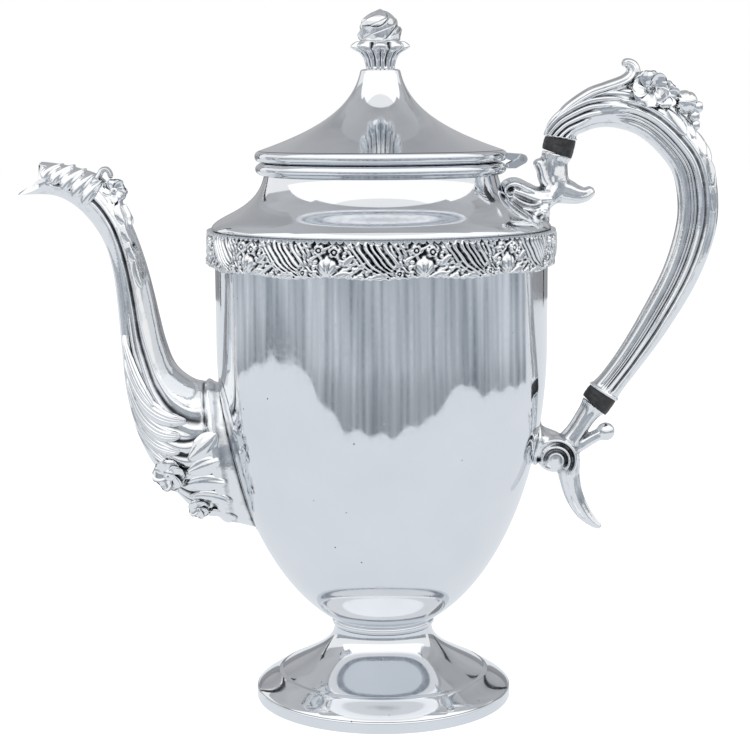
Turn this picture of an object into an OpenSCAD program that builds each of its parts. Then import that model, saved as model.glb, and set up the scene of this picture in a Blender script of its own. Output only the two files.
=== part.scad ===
// Silver coffee pot: a spun urn body on a domed foot, a cast spout and a loop handle held off by
// two insulators, and a hinged lid with a rosebud finial. Millimetres.
// The origin is the middle of the foot's underside. +Z is up, the spout points to -X, the handle to +X.

/* [Foot] */
// Outer radius of the foot ring
foot_r = 50; // [47:0.5:53]
// Height of the foot ring
foot_ring_h = 4.6; // [3.8:0.1:5.4]
// Thickness of the foot ring's wire
foot_ring_t = 2.6; // [2:0.1:3.2]
// Radius of the fold between the foot's lower step and its dome
fold_r = 39.5; // [36:0.5:42]
// Height of that fold
fold_z = 11; // [10:0.2:12.5]
// Radius of the neck between foot and bowl
neck_r = 19.1; // [17.6:0.1:20.4]
// Height of the neck
neck_z = 28.5; // [27.5:0.5:30]

/* [Bowl] */
// Outer radius of the bowl
bowl_r = 63.7; // [61:0.3:66]
// How far the bowl's bottom lies below the top of the neck
bowl_dip = 2.5; // [2:0.1:3]
// Height at which the bowl's side becomes straight
bowl_wide_z = 140; // [130:1:146]
// Height of the bowl's upper edge
bowl_top_z = 184.4; // [180:0.4:190]
// Thickness of the spun sheet
wall = 1.2; // [1:0.1:1.5]

/* [Border and shoulder] */
// Height of the floral border
border_h = 14.6; // [12:0.2:17]
// Thickness of the border's ground
border_t = 1.6; // [1:0.1:2]
// Height of the border's relief over its ground
relief = 2.4; // [1.6:0.1:2.6]
// Number of motifs round the border
motifs = 12; // [10:1:14]
// How far the shoulder's ledge stands out over the bowl
ledge = 1.1; // [0.8:0.1:1.4]
// Height of the shoulder from the bowl's edge to the mouth
shoulder_h = 20.2; // [18:0.2:22]
// Outer radius of the shoulder at the mouth
mouth_r = 44.6; // [43:0.2:46]

/* [Lid] */
// Height of the bead round the mouth
mouth_bead_h = 5; // [4.4:0.1:5.6]
// How far that bead stands out over the mouth
mouth_bead_out = 3.2; // [2.8:0.1:3.6]
// Height of the bead round the lid
lid_bead_h = 4; // [3.6:0.1:4.6]
// Height of the lid's cone
cone_h = 29.8; // [26:0.2:33]
// Radius of the cone at its top
cone_top_r = 7.6; // [7:0.1:8.4]
// Sheet thickness of the lid
lid_wall = 1; // [0.9:0.1:1.3]
// Depth of the bezel below the lid's underside
bezel_depth = 4.6; // [3:0.2:4.8]
// Gap between the bezel and the mouth
bezel_gap = 0.8; // [0.6:0.1:1]
// Gap between the shut lid and the mouth bead
lid_gap = 0.3; // [0.2:0.05:0.5]

/* [Finial] */
// Height of the leafy cup under the bud
calyx_h = 10.2; // [9:0.2:12]
// Radius of the cup's flared leaf tips
calyx_r = 11.4; // [10:0.2:12.6]
// Height of the rosebud over the cup
bud_h = 12; // [10:0.2:14]
// Radius of the rosebud
bud_r = 8.6; // [7.6:0.1:9.4]
// Radius of the screwed stud
stud_r = 1.5; // [1.2:0.1:1.8]

/* [Hinge] */
// Distance of the hinge pin outside the mouth's radius
hinge_out = 9; // [8.6:0.2:10]
// Radius of the hinge knuckles
knuckle_r = 1.9; // [1.7:0.1:2.2]
// Radius of the hinge pin
pin_r = 0.9; // [0.7:0.05:1]
// Width of the lid's knuckle
lid_knuckle_w = 4.4; // [3.6:0.2:5.4]
// Width of each of the body's two knuckles
body_knuckle_w = 3.2; // [2.6:0.2:4]

/* [Spout] */
// Reach of the spout's tip from the pot's axis
spout_reach = 138.8; // [132:0.5:146]
// Height of the spout's tip
spout_tip_z = 197.8; // [190:0.5:204]
// Height of the lowest point of the spout's foot on the bowl
spout_foot_z = 69.4; // [66:0.5:74]
// Half the width of the spout's foot
spout_foot_w = 17; // [15:0.5:18.5]
// Half the width of the spout at its mouth
spout_mouth_w = 6.2; // [5.4:0.1:7]
// Wall of the cast spout
spout_wall = 1.6; // [1.3:0.1:1.9]
// Radius of each strainer hole
strainer_r = 1.3; // [1:0.1:1.6]
// Spacing of the strainer holes
strainer_pitch = 5.4; // [4.8:0.1:6]

/* [Handle] */
// How far the handle's loop stands out from the line between its joints
handle_bulge = 50; // [45:0.5:54]
// Half the thickness of the handle, seen from the side
handle_t = 7.7; // [6.8:0.1:8.4]
// Half the width of the handle, seen from behind
handle_w = 7; // [6:0.1:7.8]
// Wall of the hollow handle
handle_wall = 1.4; // [1.1:0.1:1.8]
// Distance of the upper insulator outside the mouth's radius
upper_out = 23.1; // [22:0.2:25]
// Height of the upper insulator over the mouth
upper_rise = 10.6; // [9:0.2:13]
// Height of the lower insulator
lower_z = 117.6; // [112:0.4:122]
// Distance of the lower insulator outside the bowl
lower_out = 21.7; // [20:0.2:24]
// Radius of both insulators
insulator_r = 5.9; // [5.4:0.1:6.3]
// Thickness of the insulators at their middle
insulator_h = 6; // [5:0.1:7]
// Radius of the tangs that enter the insulators
tang_r = 2.4; // [2:0.1:2.8]
// Radius of the pins through insulator and tang
lock_pin_r = 0.8; // [0.6:0.05:1]

/* [Hidden] */

$fn = 72;
// Film of solder between pieces of one body
solder = 0.06;
// Running clearance of the hinge pin in the lid's knuckle
running = 0.06;
// Side clearance between the hinge knuckles
knuckle_gap = 0.3;
silver = "silver";
steel = "lightsteelblue";
black = "#202022";

// Heights and radii that follow from the driving dimensions
bowl_base_z = neck_z - bowl_dip;
bowl_depth = bowl_wide_z - bowl_base_z;
mouth_z = bowl_top_z + shoulder_h;
rim_top_z = mouth_z + mouth_bead_h;
lid_z = rim_top_z + lid_gap;
cone_z = lid_z + lid_bead_h;
cone_top_z = cone_z + cone_h;
finial_z = cone_top_z + 0.8;
mouth_in_r = mouth_r - 0.8;
lid_bead_r = mouth_r + mouth_bead_out + 0.2;
bezel_r = mouth_in_r - bezel_gap;
border_in_r = bowl_r + solder;
hinge_x = mouth_r + hinge_out;
hinge_z = lid_z + 0.5;

// ---- curves -------------------------------------------------------------------------------

function mix(a, b, t) = a + (b - a) * t;
function unit(v) = v / norm(v);
function turned(v) = [-v[1], v[0]];
function reversed(p) = [for (i = [len(p) - 1:-1:0]) p[i]];

// Point of a cubic Bezier curve with the control points p, at t from 0 to 1
function bezier(p, t) =
  let (u = 1 - t)
  u * u * u * p[0] + 3 * u * u * t * p[1] + 3 * u * t * t * p[2] + t * t * t * p[3];
function bezier_line(p, steps) = [for (i = [0:steps]) bezier(p, i / steps)];

// Point of a smooth curve through the points p, at s from 0 to len(p) - 1
function through(p, s) =
  let (
    last = len(p) - 1,
    i = min(floor(s), last - 1),
    t = s - i,
    b = p[i],
    c = p[i + 1],
    a = i > 0 ? p[i - 1] : 2 * b - c,
    d = i + 2 > last ? 2 * c - b : p[i + 2]
  )
  b + 0.5 * t * ((c - a) + t * ((2 * a - 5 * b + 4 * c - d) + t * (3 * b - a - 3 * c + d)));

// A line moved to its left by t
function beside(line, t) =
  [for (i = [0:len(line) - 1])
    let (a = line[max(i - 1, 0)], b = line[min(i + 1, len(line) - 1)])
    line[i] + turned(unit(b - a)) * t];

// The line moved to its left by t, without the points that its bends bring nearer than t
function inset(line, t) =
  [for (p = beside(line, t)) if (min([for (q = line) norm(p - q)]) > 0.97 * t) p];

// The part of a line that lies over z, started straight over its first such point
function over(line, z) =
  let (kept = [for (p = line) if (p[1] > z) p])
  concat([[kept[0][0], z]], kept);

// Half-round bead profile from z0 to z1, standing out from r0 to r1
function bead(r0, r1, z0, z1) =
  [for (a = [-90:15:90]) [r0 + (r1 - r0) * cos(a), (z0 + z1) / 2 + (z1 - z0) / 2 * sin(a)]];

// ---- faceted sweeps -----------------------------------------------------------------------

// Faces of a tube of stacked rings, each of n points, closed by a fan at both ends
function tube_faces(rings, n) = concat(
  [for (i = [0:rings - 2], j = [0:n - 1])
    let (a = i * n + j, b = i * n + (j + 1) % n)
    each [[a, b, b + n], [a, b + n, a + n]]],
  [for (j = [1:n - 2]) [0, j + 1, j]],
  [for (j = [1:n - 2]) let (k = (rings - 1) * n) [k, k + j, k + j + 1]]
);

// A solid of stacked rings. Each ring is a list of points, seen clockwise from the end it faces.
module tube(rings)
  polyhedron(points = [for (ring = rings) each ring], faces = tube_faces(len(rings), len(rings[0])));

// A solid sheet of stacked rings of 2 * n + 2 points, which run along one face of the sheet and
// back along the other
module sheet_tube(rings, n) {
  count = 2 * n + 2;
  last = (len(rings) - 1) * count;
  polyhedron(points = [for (ring = rings) each ring], faces = concat(
    [for (i = [0:len(rings) - 2], j = [0:count - 1])
      let (a = i * count + j, b = i * count + (j + 1) % count)
      each [[a, b, b + count], [a, b + count, a + count]]],
    [for (j = [0:n - 1]) each [
      [j, count - 2 - j, j + 1],
      [j, count - 1 - j, count - 2 - j]]],
    [for (j = [0:n - 1]) each [
      [last + j, last + j + 1, last + count - 2 - j],
      [last + j, last + count - 2 - j, last + count - 1 - j]]]
  ));
}

// Ring of an oval across a path in the XZ plane: centre c, direction d, half sizes t and w
function oval(c, d, t, w, n) =
  [for (j = [0:n - 1])
    let (a = 360 * j / n, q = c + turned(d) * t * cos(a))
    [q[0], w * sin(a), q[1]]];

// A limb through stations [x, z, half thickness, half width]
module limb(stations, steps = 3, n = 12) {
  last = (len(stations) - 1) * steps;
  line = [for (i = [0:last]) through(stations, i / steps)];
  xz = [for (p = line) [p[0], p[1]]];
  tube([for (i = [0:last])
    oval(xz[i], unit(xz[min(i + 1, last)] - xz[max(i - 1, 0)]), line[i][2], line[i][3], n)]);
}

// A flower of round petals about a bud, facing along Y
module flower(x, y, z, r, petals = 5) {
  translate([x, y, z]) sphere(r * 0.42);
  for (k = [0:petals - 1])
    translate([x + r * 0.58 * cos(k * 360 / petals + 18), y, z + r * 0.58 * sin(k * 360 / petals + 18)])
      sphere(r * 0.42);
}

// ---- foot ---------------------------------------------------------------------------------

foot_line = concat(
  bezier_line([
    [foot_r - 0.5, foot_ring_h + solder],
    [foot_r - 1.9, mix(foot_ring_h, fold_z, 0.27)],
    [mix(foot_r, fold_r, 0.67), mix(foot_ring_h, fold_z, 0.66)],
    [fold_r + 1.6, fold_z - 0.6]
  ], 8),
  bezier_line([
    [fold_r, fold_z],
    [mix(neck_r, fold_r, 0.63), mix(fold_z, neck_z, 0.26)],
    [neck_r, mix(fold_z, neck_z, 0.51)],
    [neck_r, neck_z]
  ], 18)
);

module foot_ring()
  color(silver) rotate_extrude() polygon([
    [foot_r - foot_ring_t, 0],
    [foot_r - 0.7, 0],
    [foot_r - 0.2, 0.3],
    [foot_r, 0.8],
    [foot_r, foot_ring_h - 0.8],
    [foot_r - 0.2, foot_ring_h - 0.3],
    [foot_r - 0.6, foot_ring_h],
    [foot_r - foot_ring_t, foot_ring_h]
  ]);

module foot_shell()
  color(silver) rotate_extrude() polygon(concat(
    foot_line,
    reversed(over(inset(foot_line, wall), foot_ring_h + solder))
  ));

// ---- bowl ---------------------------------------------------------------------------------

function bowl_r_at(z) =
  bowl_r * sqrt(1 - pow(max(0, min(1, (bowl_wide_z - z) / bowl_depth)), 2));

// Outline of the bowl from its bottom to its edge, moved outwards by grow
function bowl_line(grow) = concat(
  [for (a = [90:-3.75:0])
    [(bowl_r + grow) * cos(a), bowl_wide_z - (bowl_depth + grow) * sin(a)]],
  [[bowl_r + grow, bowl_top_z]]
);

// Everything inside the bowl's outer face, moved outwards by the film of solder
module bowl_solid()
  rotate_extrude() polygon(concat(bowl_line(solder), [[0, bowl_top_z]]));

module stem_collar() {
  low = neck_z + solder;
  high = neck_z + 3;
  color(silver) rotate_extrude() difference() {
    polygon(concat(
      [[neck_r - 3.2, low]],
      [for (a = [-90:18:90])
        let (z = (low + high) / 2 + (high - low) / 2 * sin(a))
        [mix(neck_r, bowl_r_at(high), (z - low) / (high - low)) - 0.4 + 1.2 * cos(a), z]],
      [[bowl_r_at(high) - 2.4, high]]
    ));
    polygon(concat(bowl_line(solder), [[0, bowl_top_z]]));
  }
}

// Strainer holes through the bowl inside the spout's foot, in staggered rows
module strainer_holes() {
  mid_z = mix(spout_foot_z, spout_root_top_z, 0.52);
  for (row = [-3:3], col = [-2:2]) {
    y = (col + (abs(row) % 2) / 2) * strainer_pitch;
    z = row * strainer_pitch * 0.866;
    if (norm([y / (spout_foot_w - 5), z / 20]) < 1)
      translate([-bowl_r_at(mid_z + z), y, mid_z + z])
        rotate([0, 90, 0]) cylinder(r = strainer_r, h = 12, center = true);
  }
}

module body_bowl()
  color(silver) difference() {
    rotate_extrude() polygon(concat(bowl_line(0), reversed(bowl_line(-wall))));
    strainer_holes();
  }

// ---- shoulder, border and mouth -----------------------------------------------------------

// The shoulder's ogee from the ledge to the mouth
shoulder_curve = [
  [bowl_r + ledge, bowl_top_z + 0.7],
  [bowl_r + ledge - 1.8, bowl_top_z + shoulder_h * 0.28],
  [mouth_r + 2.8, bowl_top_z + shoulder_h * 0.335],
  [mouth_r, mouth_z]
];
shoulder_line = bezier_line(shoulder_curve, 20);

// The shoulder turned solid, moved outwards by the film of solder
module shoulder_solid()
  rotate_extrude() polygon(concat(
    [[0, bowl_top_z], [bowl_r + ledge + solder, bowl_top_z]],
    beside(shoulder_line, -solder),
    [[0, mouth_z]]
  ));

module shoulder() {
  skirt_r = bowl_r - wall - solder;
  inside = reversed(inset(shoulder_line, wall));
  color(silver) rotate_extrude() polygon(concat(
    [[skirt_r, bowl_top_z - 4], [skirt_r, bowl_top_z + solder], [bowl_r + ledge, bowl_top_z + solder]],
    shoulder_line,
    inside,
    [[skirt_r - wall, bowl_top_z], [skirt_r - wall, bowl_top_z - 4]]
  ));
}

// Relief of the border: slanting flutes, with a round flower cluster in each motif
function border_relief(turn, up) =
  let (
    flute = abs(sin(180 * (turn * 4 + up * 1.1))),
    side = (turn - floor(turn) - 0.5) * 5,
    bloom = max(0, 1 - norm([side, (up - 0.62) * 2.2])),
    fade = min(1, 6 * min(up, 1 - up))
  )
  fade * max(0.85 * flute, sqrt(bloom));

module floral_border() {
  per_motif = 12;
  steps = motifs * per_motif;
  rows = 7;
  low = bowl_top_z - border_h;
  high = bowl_top_z - solder;
  rings = [for (i = [0:rows + 2])
    [for (j = [0:steps - 1])
      let (
        up = min(max(i - 1, 0), rows) / rows,
        turn = j / per_motif,
        scallop = (1 - up) * 1.3 * abs(sin(180 * turn * 3)),
        z = low + scallop + (high - low - scallop) * up,
        r = i == 0 || i == rows + 2
          ? border_in_r
          : border_in_r + border_t + relief * border_relief(turn, up),
        a = 360 * j / steps
      )
      [r * cos(a), r * sin(a), z]]];
  points = [for (ring = rings) each ring];
  count = len(rings);
  color(silver) polyhedron(points = points, faces = [for (i = [0:count - 1], j = [0:steps - 1])
    let (
      k = (i + 1) % count,
      a = i * steps + j,
      b = i * steps + (j + 1) % steps,
      c = k * steps + (j + 1) % steps,
      d = k * steps + j
    )
    each [[a, c, b], [a, d, c]]]);
}

module mouth_rim()
  color(silver) rotate_extrude() polygon(concat(
    [[mouth_in_r, mouth_z + solder]],
    bead(mouth_r, mouth_r + mouth_bead_out, mouth_z + solder, rim_top_z),
    [[mouth_in_r, rim_top_z]]
  ));

// ---- spout --------------------------------------------------------------------------------

// Stations from the foot to the mouth: the outer edge and the inner edge of the spout, each as a
// share of its reach beyond the bowl and of its height over its foot, then the share of its width
spout_stations = [
  [-0.30, -0.030, -0.140, 0.425, 0.00],
  [-0.03, 0.010, 0.045, 0.436, 0.00],
  [0.130, 0.050, 0.130, 0.447, 0.06],
  [0.260, 0.130, 0.215, 0.490, 0.18],
  [0.372, 0.225, 0.262, 0.560, 0.32],
  [0.436, 0.325, 0.292, 0.635, 0.48],
  [0.474, 0.425, 0.316, 0.702, 0.63],
  [0.491, 0.550, 0.346, 0.776, 0.76],
  [0.505, 0.667, 0.384, 0.850, 0.85],
  [0.523, 0.768, 0.430, 0.920, 0.91],
  [0.560, 0.850, 0.489, 0.986, 0.95],
  [0.625, 0.916, 0.573, 1.045, 0.97],
  [0.716, 0.970, 0.684, 1.070, 1.00],
  [0.827, 0.999, 0.788, 1.084, 1.03],
  [1.000, 1.000, 0.882, 1.094, 1.00]
];
spout_rise = spout_tip_z - spout_foot_z;
spout_span = spout_reach - bowl_r;
spout_root_top_z = spout_foot_z + 0.445 * spout_rise;
spout_steps = 3;

// Point of the spout's surface at station s and angle a from its inner edge, moved out by grow
function spout_point(s, a, grow) =
  let (
    p = through(spout_stations, s),
    low = [-bowl_r - spout_span * p[0], spout_foot_z + spout_rise * p[1]],
    high = [-bowl_r - spout_span * p[2], spout_foot_z + spout_rise * p[3]],
    w = mix(spout_foot_w, spout_mouth_w, p[4]) + grow,
    half = (high - low) / 2,
    q = (low + high) / 2 + half * (1 + grow / norm(half)) * cos(a)
  )
  [q[0], w * sin(a), q[1]];

// Relief of the acanthus leaves that clasp the lower half of the spout
function spout_relief(s, a) =
  let (
    fade = max(0, min(1, (7.5 - s) / 2)) * max(0, min(1, (a - 35) / 40)) * max(0, min(1, (180 - a) / 25))
  )
  1.3 * fade * abs(sin(180 * (s * 0.9 + a / 42)));

// Half of the spout's body, on the side of Y that side gives: its outer face from the inner edge
// round to the outer edge, and back along the passage
module spout_half(side) {
  last = (len(spout_stations) - 1) * spout_steps;
  n = 14;
  function across(s, j, grow) =
    let (p = spout_point(s, 180 * j / n, grow)) [p[0], side * (p[1] + solder / 2), p[2]];
  rings = [for (i = [0:last])
    let (s = i / spout_steps)
    concat(
      [for (j = [0:n]) across(s, j, j == 0 || j == n ? 0 : spout_relief(s, 180 * j / n))],
      [for (j = [n:-1:0]) across(s, j, -spout_wall)]
    )];
  color(silver) difference() {
    sheet_tube(side < 0 ? rings : [for (ring = rings) reversed(ring)], n);
    bowl_solid();
  }
}

// The leaf that lies over the spout's upper lip, with its curled tip and a flower on each cheek
module spout_leaf_crest() {
  first = 10.5;
  steps = 14;
  n = 8;
  function thickness(u, v) = 0.5 + 1.5 * (1 - v * v) * sin(180 * min(1, 0.12 + u));
  rings = [for (i = [0:steps])
    let (u = i / steps, s = mix(first, 13.9, u), spread = mix(62, 30, u))
    concat(
      [for (j = [0:n]) let (v = 2 * j / n - 1) spout_point(s, v * spread, solder)],
      [for (j = [n:-1:0]) let (v = 2 * j / n - 1) spout_point(s, v * spread, thickness(u, v))]
    )];
  curl = spout_point(first + 0.4, 0, 2.6);
  cheek = spout_point(first - 0.5, 80, 0);
  color(silver) union() {
    sheet_tube(rings, n);
    difference() {
      union() {
        translate(curl) rotate([90, 0, 0]) cylinder(r = 2.4, h = 7, center = true);
        for (side = [-1, 1])
          flower(cheek[0], side * (cheek[1] + 0.6), cheek[2], 4.6);
      }
      spout_core();
    }
  }
}

// The spout's outer form as one solid, moved outwards by the film of solder
module spout_core() {
  last = (len(spout_stations) - 1) * spout_steps;
  n = 28;
  tube([for (i = [0:last]) [for (j = [0:n - 1]) spout_point(i / spout_steps, -360 * j / n, solder)]]);
}

module spout_left() spout_half(-1);
module spout_right() spout_half(1);

// ---- joints of the handle -----------------------------------------------------------------

// Each joint: middle of the insulator, its axis, and the normals of its upper and lower faces
function lean(a) = [sin(a), cos(a)];
upper_mid = [mouth_r + upper_out, mouth_z + upper_rise];
lower_mid = [bowl_r_at(lower_z) + lower_out, lower_z];
upper_joint = [upper_mid, lean(13.6), lean(9), lean(20)];
lower_joint = [lower_mid, lean(35), lean(33), lean(42)];

// Middle of a joint's upper or lower face, with end as 1 or -1, and extra beyond it
function face_mid(joint, end, extra = 0) = joint[0] + joint[1] * end * (insulator_h / 2 + extra);

// Places children at a joint's middle with +Z along its axis
module at_joint(joint)
  translate([joint[0][0], 0, joint[0][1]]) rotate([0, atan2(joint[1][0], joint[1][1]), 0]) children();

// A slab that covers everything beyond a joint's upper (1) or lower (-1) face
module beyond(joint, end) {
  mid = face_mid(joint, end);
  normal = joint[end > 0 ? 2 : 3];
  translate([mid[0], 0, mid[1]]) rotate([0, atan2(normal[0], normal[1]), 0])
    translate([0, 0, end * 15]) cube([40, 40, 30], center = true);
}

// The room of a joint's insulator over its lower face, a film of solder away from it
module insulator_room(joint) {
  mid = face_mid(joint, -1, solder);
  normal = joint[3];
  translate([mid[0], 0, mid[1]]) rotate([0, atan2(normal[0], normal[1]), 0])
    cylinder(r = insulator_r + 1, h = insulator_h / 2);
}

// A black band with wedge faces, a spigot into the socket and a bore for the handle's tang
module insulator(joint)
  color(black) difference() {
    union() {
      difference() {
        at_joint(joint) cylinder(r = insulator_r, h = 3 * insulator_h, center = true);
        beyond(joint, 1);
        beyond(joint, -1);
      }
      at_joint(joint) translate([0, 0, -insulator_h / 2 - spigot]) cylinder(r = tang_r, h = spigot + 1);
    }
    at_joint(joint) translate([0, 0, -insulator_h / 2 + 0.8]) cylinder(r = tang_r + solder, h = 2 * insulator_h);
    at_joint(joint) rotate([90, 0, 0]) cylinder(r = lock_pin_r + solder, h = 3 * insulator_r, center = true);
  }
// Length of the insulator's spigot in its socket, and of the tang in the handle
spigot = 5;

module upper_insulator() insulator(upper_joint);
module lower_insulator() insulator(lower_joint);

// Solid tang from inside the handle's end into the insulator
module tang(joint)
  difference() {
    at_joint(joint) translate([0, 0, 1 - insulator_h / 2]) cylinder(r = tang_r, h = insulator_h - 1 + spigot);
    at_joint(joint) rotate([90, 0, 0]) cylinder(r = lock_pin_r + solder, h = 3 * insulator_r, center = true);
  }

module handle_tangs()
  color(steel) {
    tang(upper_joint);
    tang(lower_joint);
  }

module insulator_pins()
  color(steel) {
    at_joint(upper_joint) rotate([90, 0, 0]) cylinder(r = lock_pin_r, h = 2 * insulator_r, center = true);
    at_joint(lower_joint) rotate([90, 0, 0]) cylinder(r = lock_pin_r, h = 2 * insulator_r, center = true);
  }

// ---- handle -------------------------------------------------------------------------------

handle_top = face_mid(upper_joint, 1, solder);
handle_end = face_mid(lower_joint, 1, solder);
// Stations from the upper joint to the lower: the share of the rise between the joints, the share
// of the bulge, and the shares of half thickness and half width
handle_stations = [
  [1.000, 0.000, 0.775, 0.84],
  [1.024, 0.020, 0.750, 0.82],
  [1.058, 0.092, 0.760, 0.84],
  [1.104, 0.282, 0.860, 0.90],
  [1.112, 0.496, 0.970, 0.96],
  [1.072, 0.701, 0.980, 1.00],
  [0.984, 0.870, 0.980, 1.00],
  [0.885, 0.965, 1.000, 1.00],
  [0.750, 0.967, 1.000, 1.00],
  [0.622, 0.899, 0.980, 1.00],
  [0.458, 0.732, 0.900, 0.96],
  [0.277, 0.476, 0.800, 0.90],
  [0.139, 0.253, 0.700, 0.84],
  [0.045, 0.085, 0.680, 0.80],
  [0.000, 0.000, 0.775, 0.84]
];
handle_last = len(handle_stations) - 1;

// Centre of the handle at station s, followed by its half thickness and half width
function handle_at(s) =
  let (p = through(handle_stations, s), base = mix(handle_end, handle_top, p[0]))
  [base[0] + handle_bulge * p[1], base[1], handle_t * p[2], handle_w * p[3]];

// Direction of the handle's run, which turns at both ends into that of the insulator's face
function handle_run(s) =
  let (
    a = handle_at(max(0, s - 0.3)),
    b = handle_at(min(handle_last, s + 0.3)),
    face = s < handle_last / 2 ? upper_joint[2] : -lower_joint[2],
    share = max(0, min(1, min(s, handle_last - s) / 3))
  )
  unit(mix(face, unit([b[0] - a[0], b[1] - a[1]]), share));

// Point of the handle's surface at station s and angle a from its outer edge, moved out by grow
function handle_point(s, a, grow) =
  let (
    c = handle_at(s),
    end = s <= 0 || s >= handle_last,
    t = end ? insulator_r : c[2],
    w = end ? insulator_r : c[3],
    q = [c[0], c[1]] + turned(handle_run(s)) * (t + grow) * cos(a)
  )
  [q[0], (w + grow) * sin(a), q[1]];

module handle_half(side) {
  steps = 3;
  n = 12;
  hollow = [1.6, handle_last - 1.4];
  rings = [for (i = [0:handle_last * steps])
    [for (j = [0:n])
      let (p = handle_point(i / steps, 180 * j / n, 0))
      [p[0], side * (p[1] + solder / 2), p[2]]]];
  inner = [for (i = [0:30])
    [for (j = [0:11]) handle_point(mix(hollow[0], hollow[1], i / 30), 30 * (j + 0.5), -handle_wall)]];
  color(silver) difference() {
    tube(side > 0 ? rings : [for (ring = rings) reversed(ring)]);
    tube(inner);
    for (joint = [upper_joint, lower_joint])
      at_joint(joint) cylinder(r = tang_r + solder, h = insulator_h / 2 + spigot + 0.2);
  }
}

module handle_left() handle_half(-1);
module handle_right() handle_half(1);

// The handle's outer form as one solid, moved outwards by the film of solder
module handle_core()
  tube([for (i = [0:handle_last * 3]) [for (j = [0:23]) handle_point(i / 3, 15 * j, solder)]]);

// A place over the handle's outer edge at station s, as [x, z], with shifts along X and Z
function crown(s, grow = 0, dx = 0, dz = 0) =
  let (p = handle_point(s, 0, grow)) [p[0] + dx, p[2] + dz];

// Flowers, bud and overlapping leaves over the handle's crown and down its back
module handle_flower_spray() {
  // ribbed leaf that climbs the crown and ends in a standing curl
  leaf = [
    concat(crown(2.3, -0.8), [1.4, 4.6]),
    concat(crown(3, 0.2), [2, 5.4]),
    concat(crown(3.6, 0.6), [2.4, 5.6]),
    concat(crown(4, 0, -0.9, 4.4), [2, 4.8]),
    concat(crown(4, 0, -0.6, 8), [1.9, 4.4]),
    concat(crown(4, 0, 2.3, 8.9), [1.8, 4]),
    concat(crown(4, 0, 5.2, 6.2), [1.5, 3.2])
  ];
  rose = crown(4.62, 0.6);
  daisy = crown(5.05, 2.4);
  bud = crown(5.55, 4.4);
  color(silver) difference() {
    union() {
      limb(leaf, 2, 10);
      for (side = [-1, 1]) {
        flower(rose[0], side * (handle_w - 2.6), rose[1], 6.6);
        flower(daisy[0], side * (handle_w - 3.4), daisy[1], 4.6);
        translate([bud[0], side * 2.2, bud[1]]) sphere(4.5);
      }
      // leaves like scales down the back
      for (k = [0:4]) {
        s = 5.6 + 0.55 * k;
        root = crown(s, 0.2);
        tip = crown(s + 0.75, -1.4);
        limb([
          concat(root, [1.6, 5.4 - 0.5 * k]),
          concat(mix(root, tip, 0.5), [1.5, 4.6 - 0.5 * k]),
          concat(tip, [0.6, 1.4])
        ], 2, 8);
      }
    }
    handle_core();
  }
}

// ---- sockets ------------------------------------------------------------------------------

// Scrolled socket on the shoulder, which holds the upper insulator
module upper_socket() {
  top = face_mid(upper_joint, -1, solder);
  root = face_mid(upper_joint, -1, -1);
  seat = bezier(shoulder_curve, 0.52);
  x = seat[0];
  z = seat[1];
  color(silver) difference() {
    union() {
      limb([
        [root[0], root[1], insulator_r, insulator_r],
        [top[0] - 1.2, top[1] - 3, 5.3, 5.4],
        [top[0] - 0.6, top[1] - 8.6, 6.1, 6],
        [mix(x, top[0], 0.72), z + 6, 6.4, 8],
        [x + 1, z + 1, 6, 13],
        [x - 4, z - 4, 5, 13]
      ]);
      // spur that points away from the pot
      limb([
        [x + 10, z + 8, 4.6, 5],
        [x + 16, z + 6.2, 3.9, 4],
        [x + 22, z + 5.6, 2.9, 3],
        [x + 27, z + 6, 0.7, 1]
      ]);
      // fan of leaf that climbs the shoulder to the mouth
      limb([
        [x + 8, z + 5, 4.6, 8],
        [x + 1, z + 6.6, 4.4, 14],
        [x - 5.2, z + 8.2, 4, 15],
        [x - 9, z + 8, 1.6, 9]
      ]);
      // rolled scroll beside the insulator
      translate([top[0] - 7, 0, top[1] - 2.2]) rotate([90, 0, 0]) cylinder(r = 2.1, h = 9, center = true);
      translate([top[0] - 7, -3.5, top[1] - 4.6]) cube([5, 7, 3]);
      // rolled scroll under the spur, and the leaf tip that rests on the ledge
      translate([x + 7, 0, z - 0.4]) rotate([90, 0, 0]) cylinder(r = 2.8, h = 15, center = true);
      limb([
        [x + 6, z, 3, 6],
        [x + 8, z - 3.4, 2.2, 4.4],
        [x + 7.6, z - 5.8, 1.2, 2.4]
      ], 2);
    }
    shoulder_solid();
    insulator_room(upper_joint);
    at_joint(upper_joint) translate([0, 0, -insulator_h / 2 - spigot - 0.2])
      cylinder(r = tang_r + solder, h = spigot + 2);
  }
}

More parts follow.
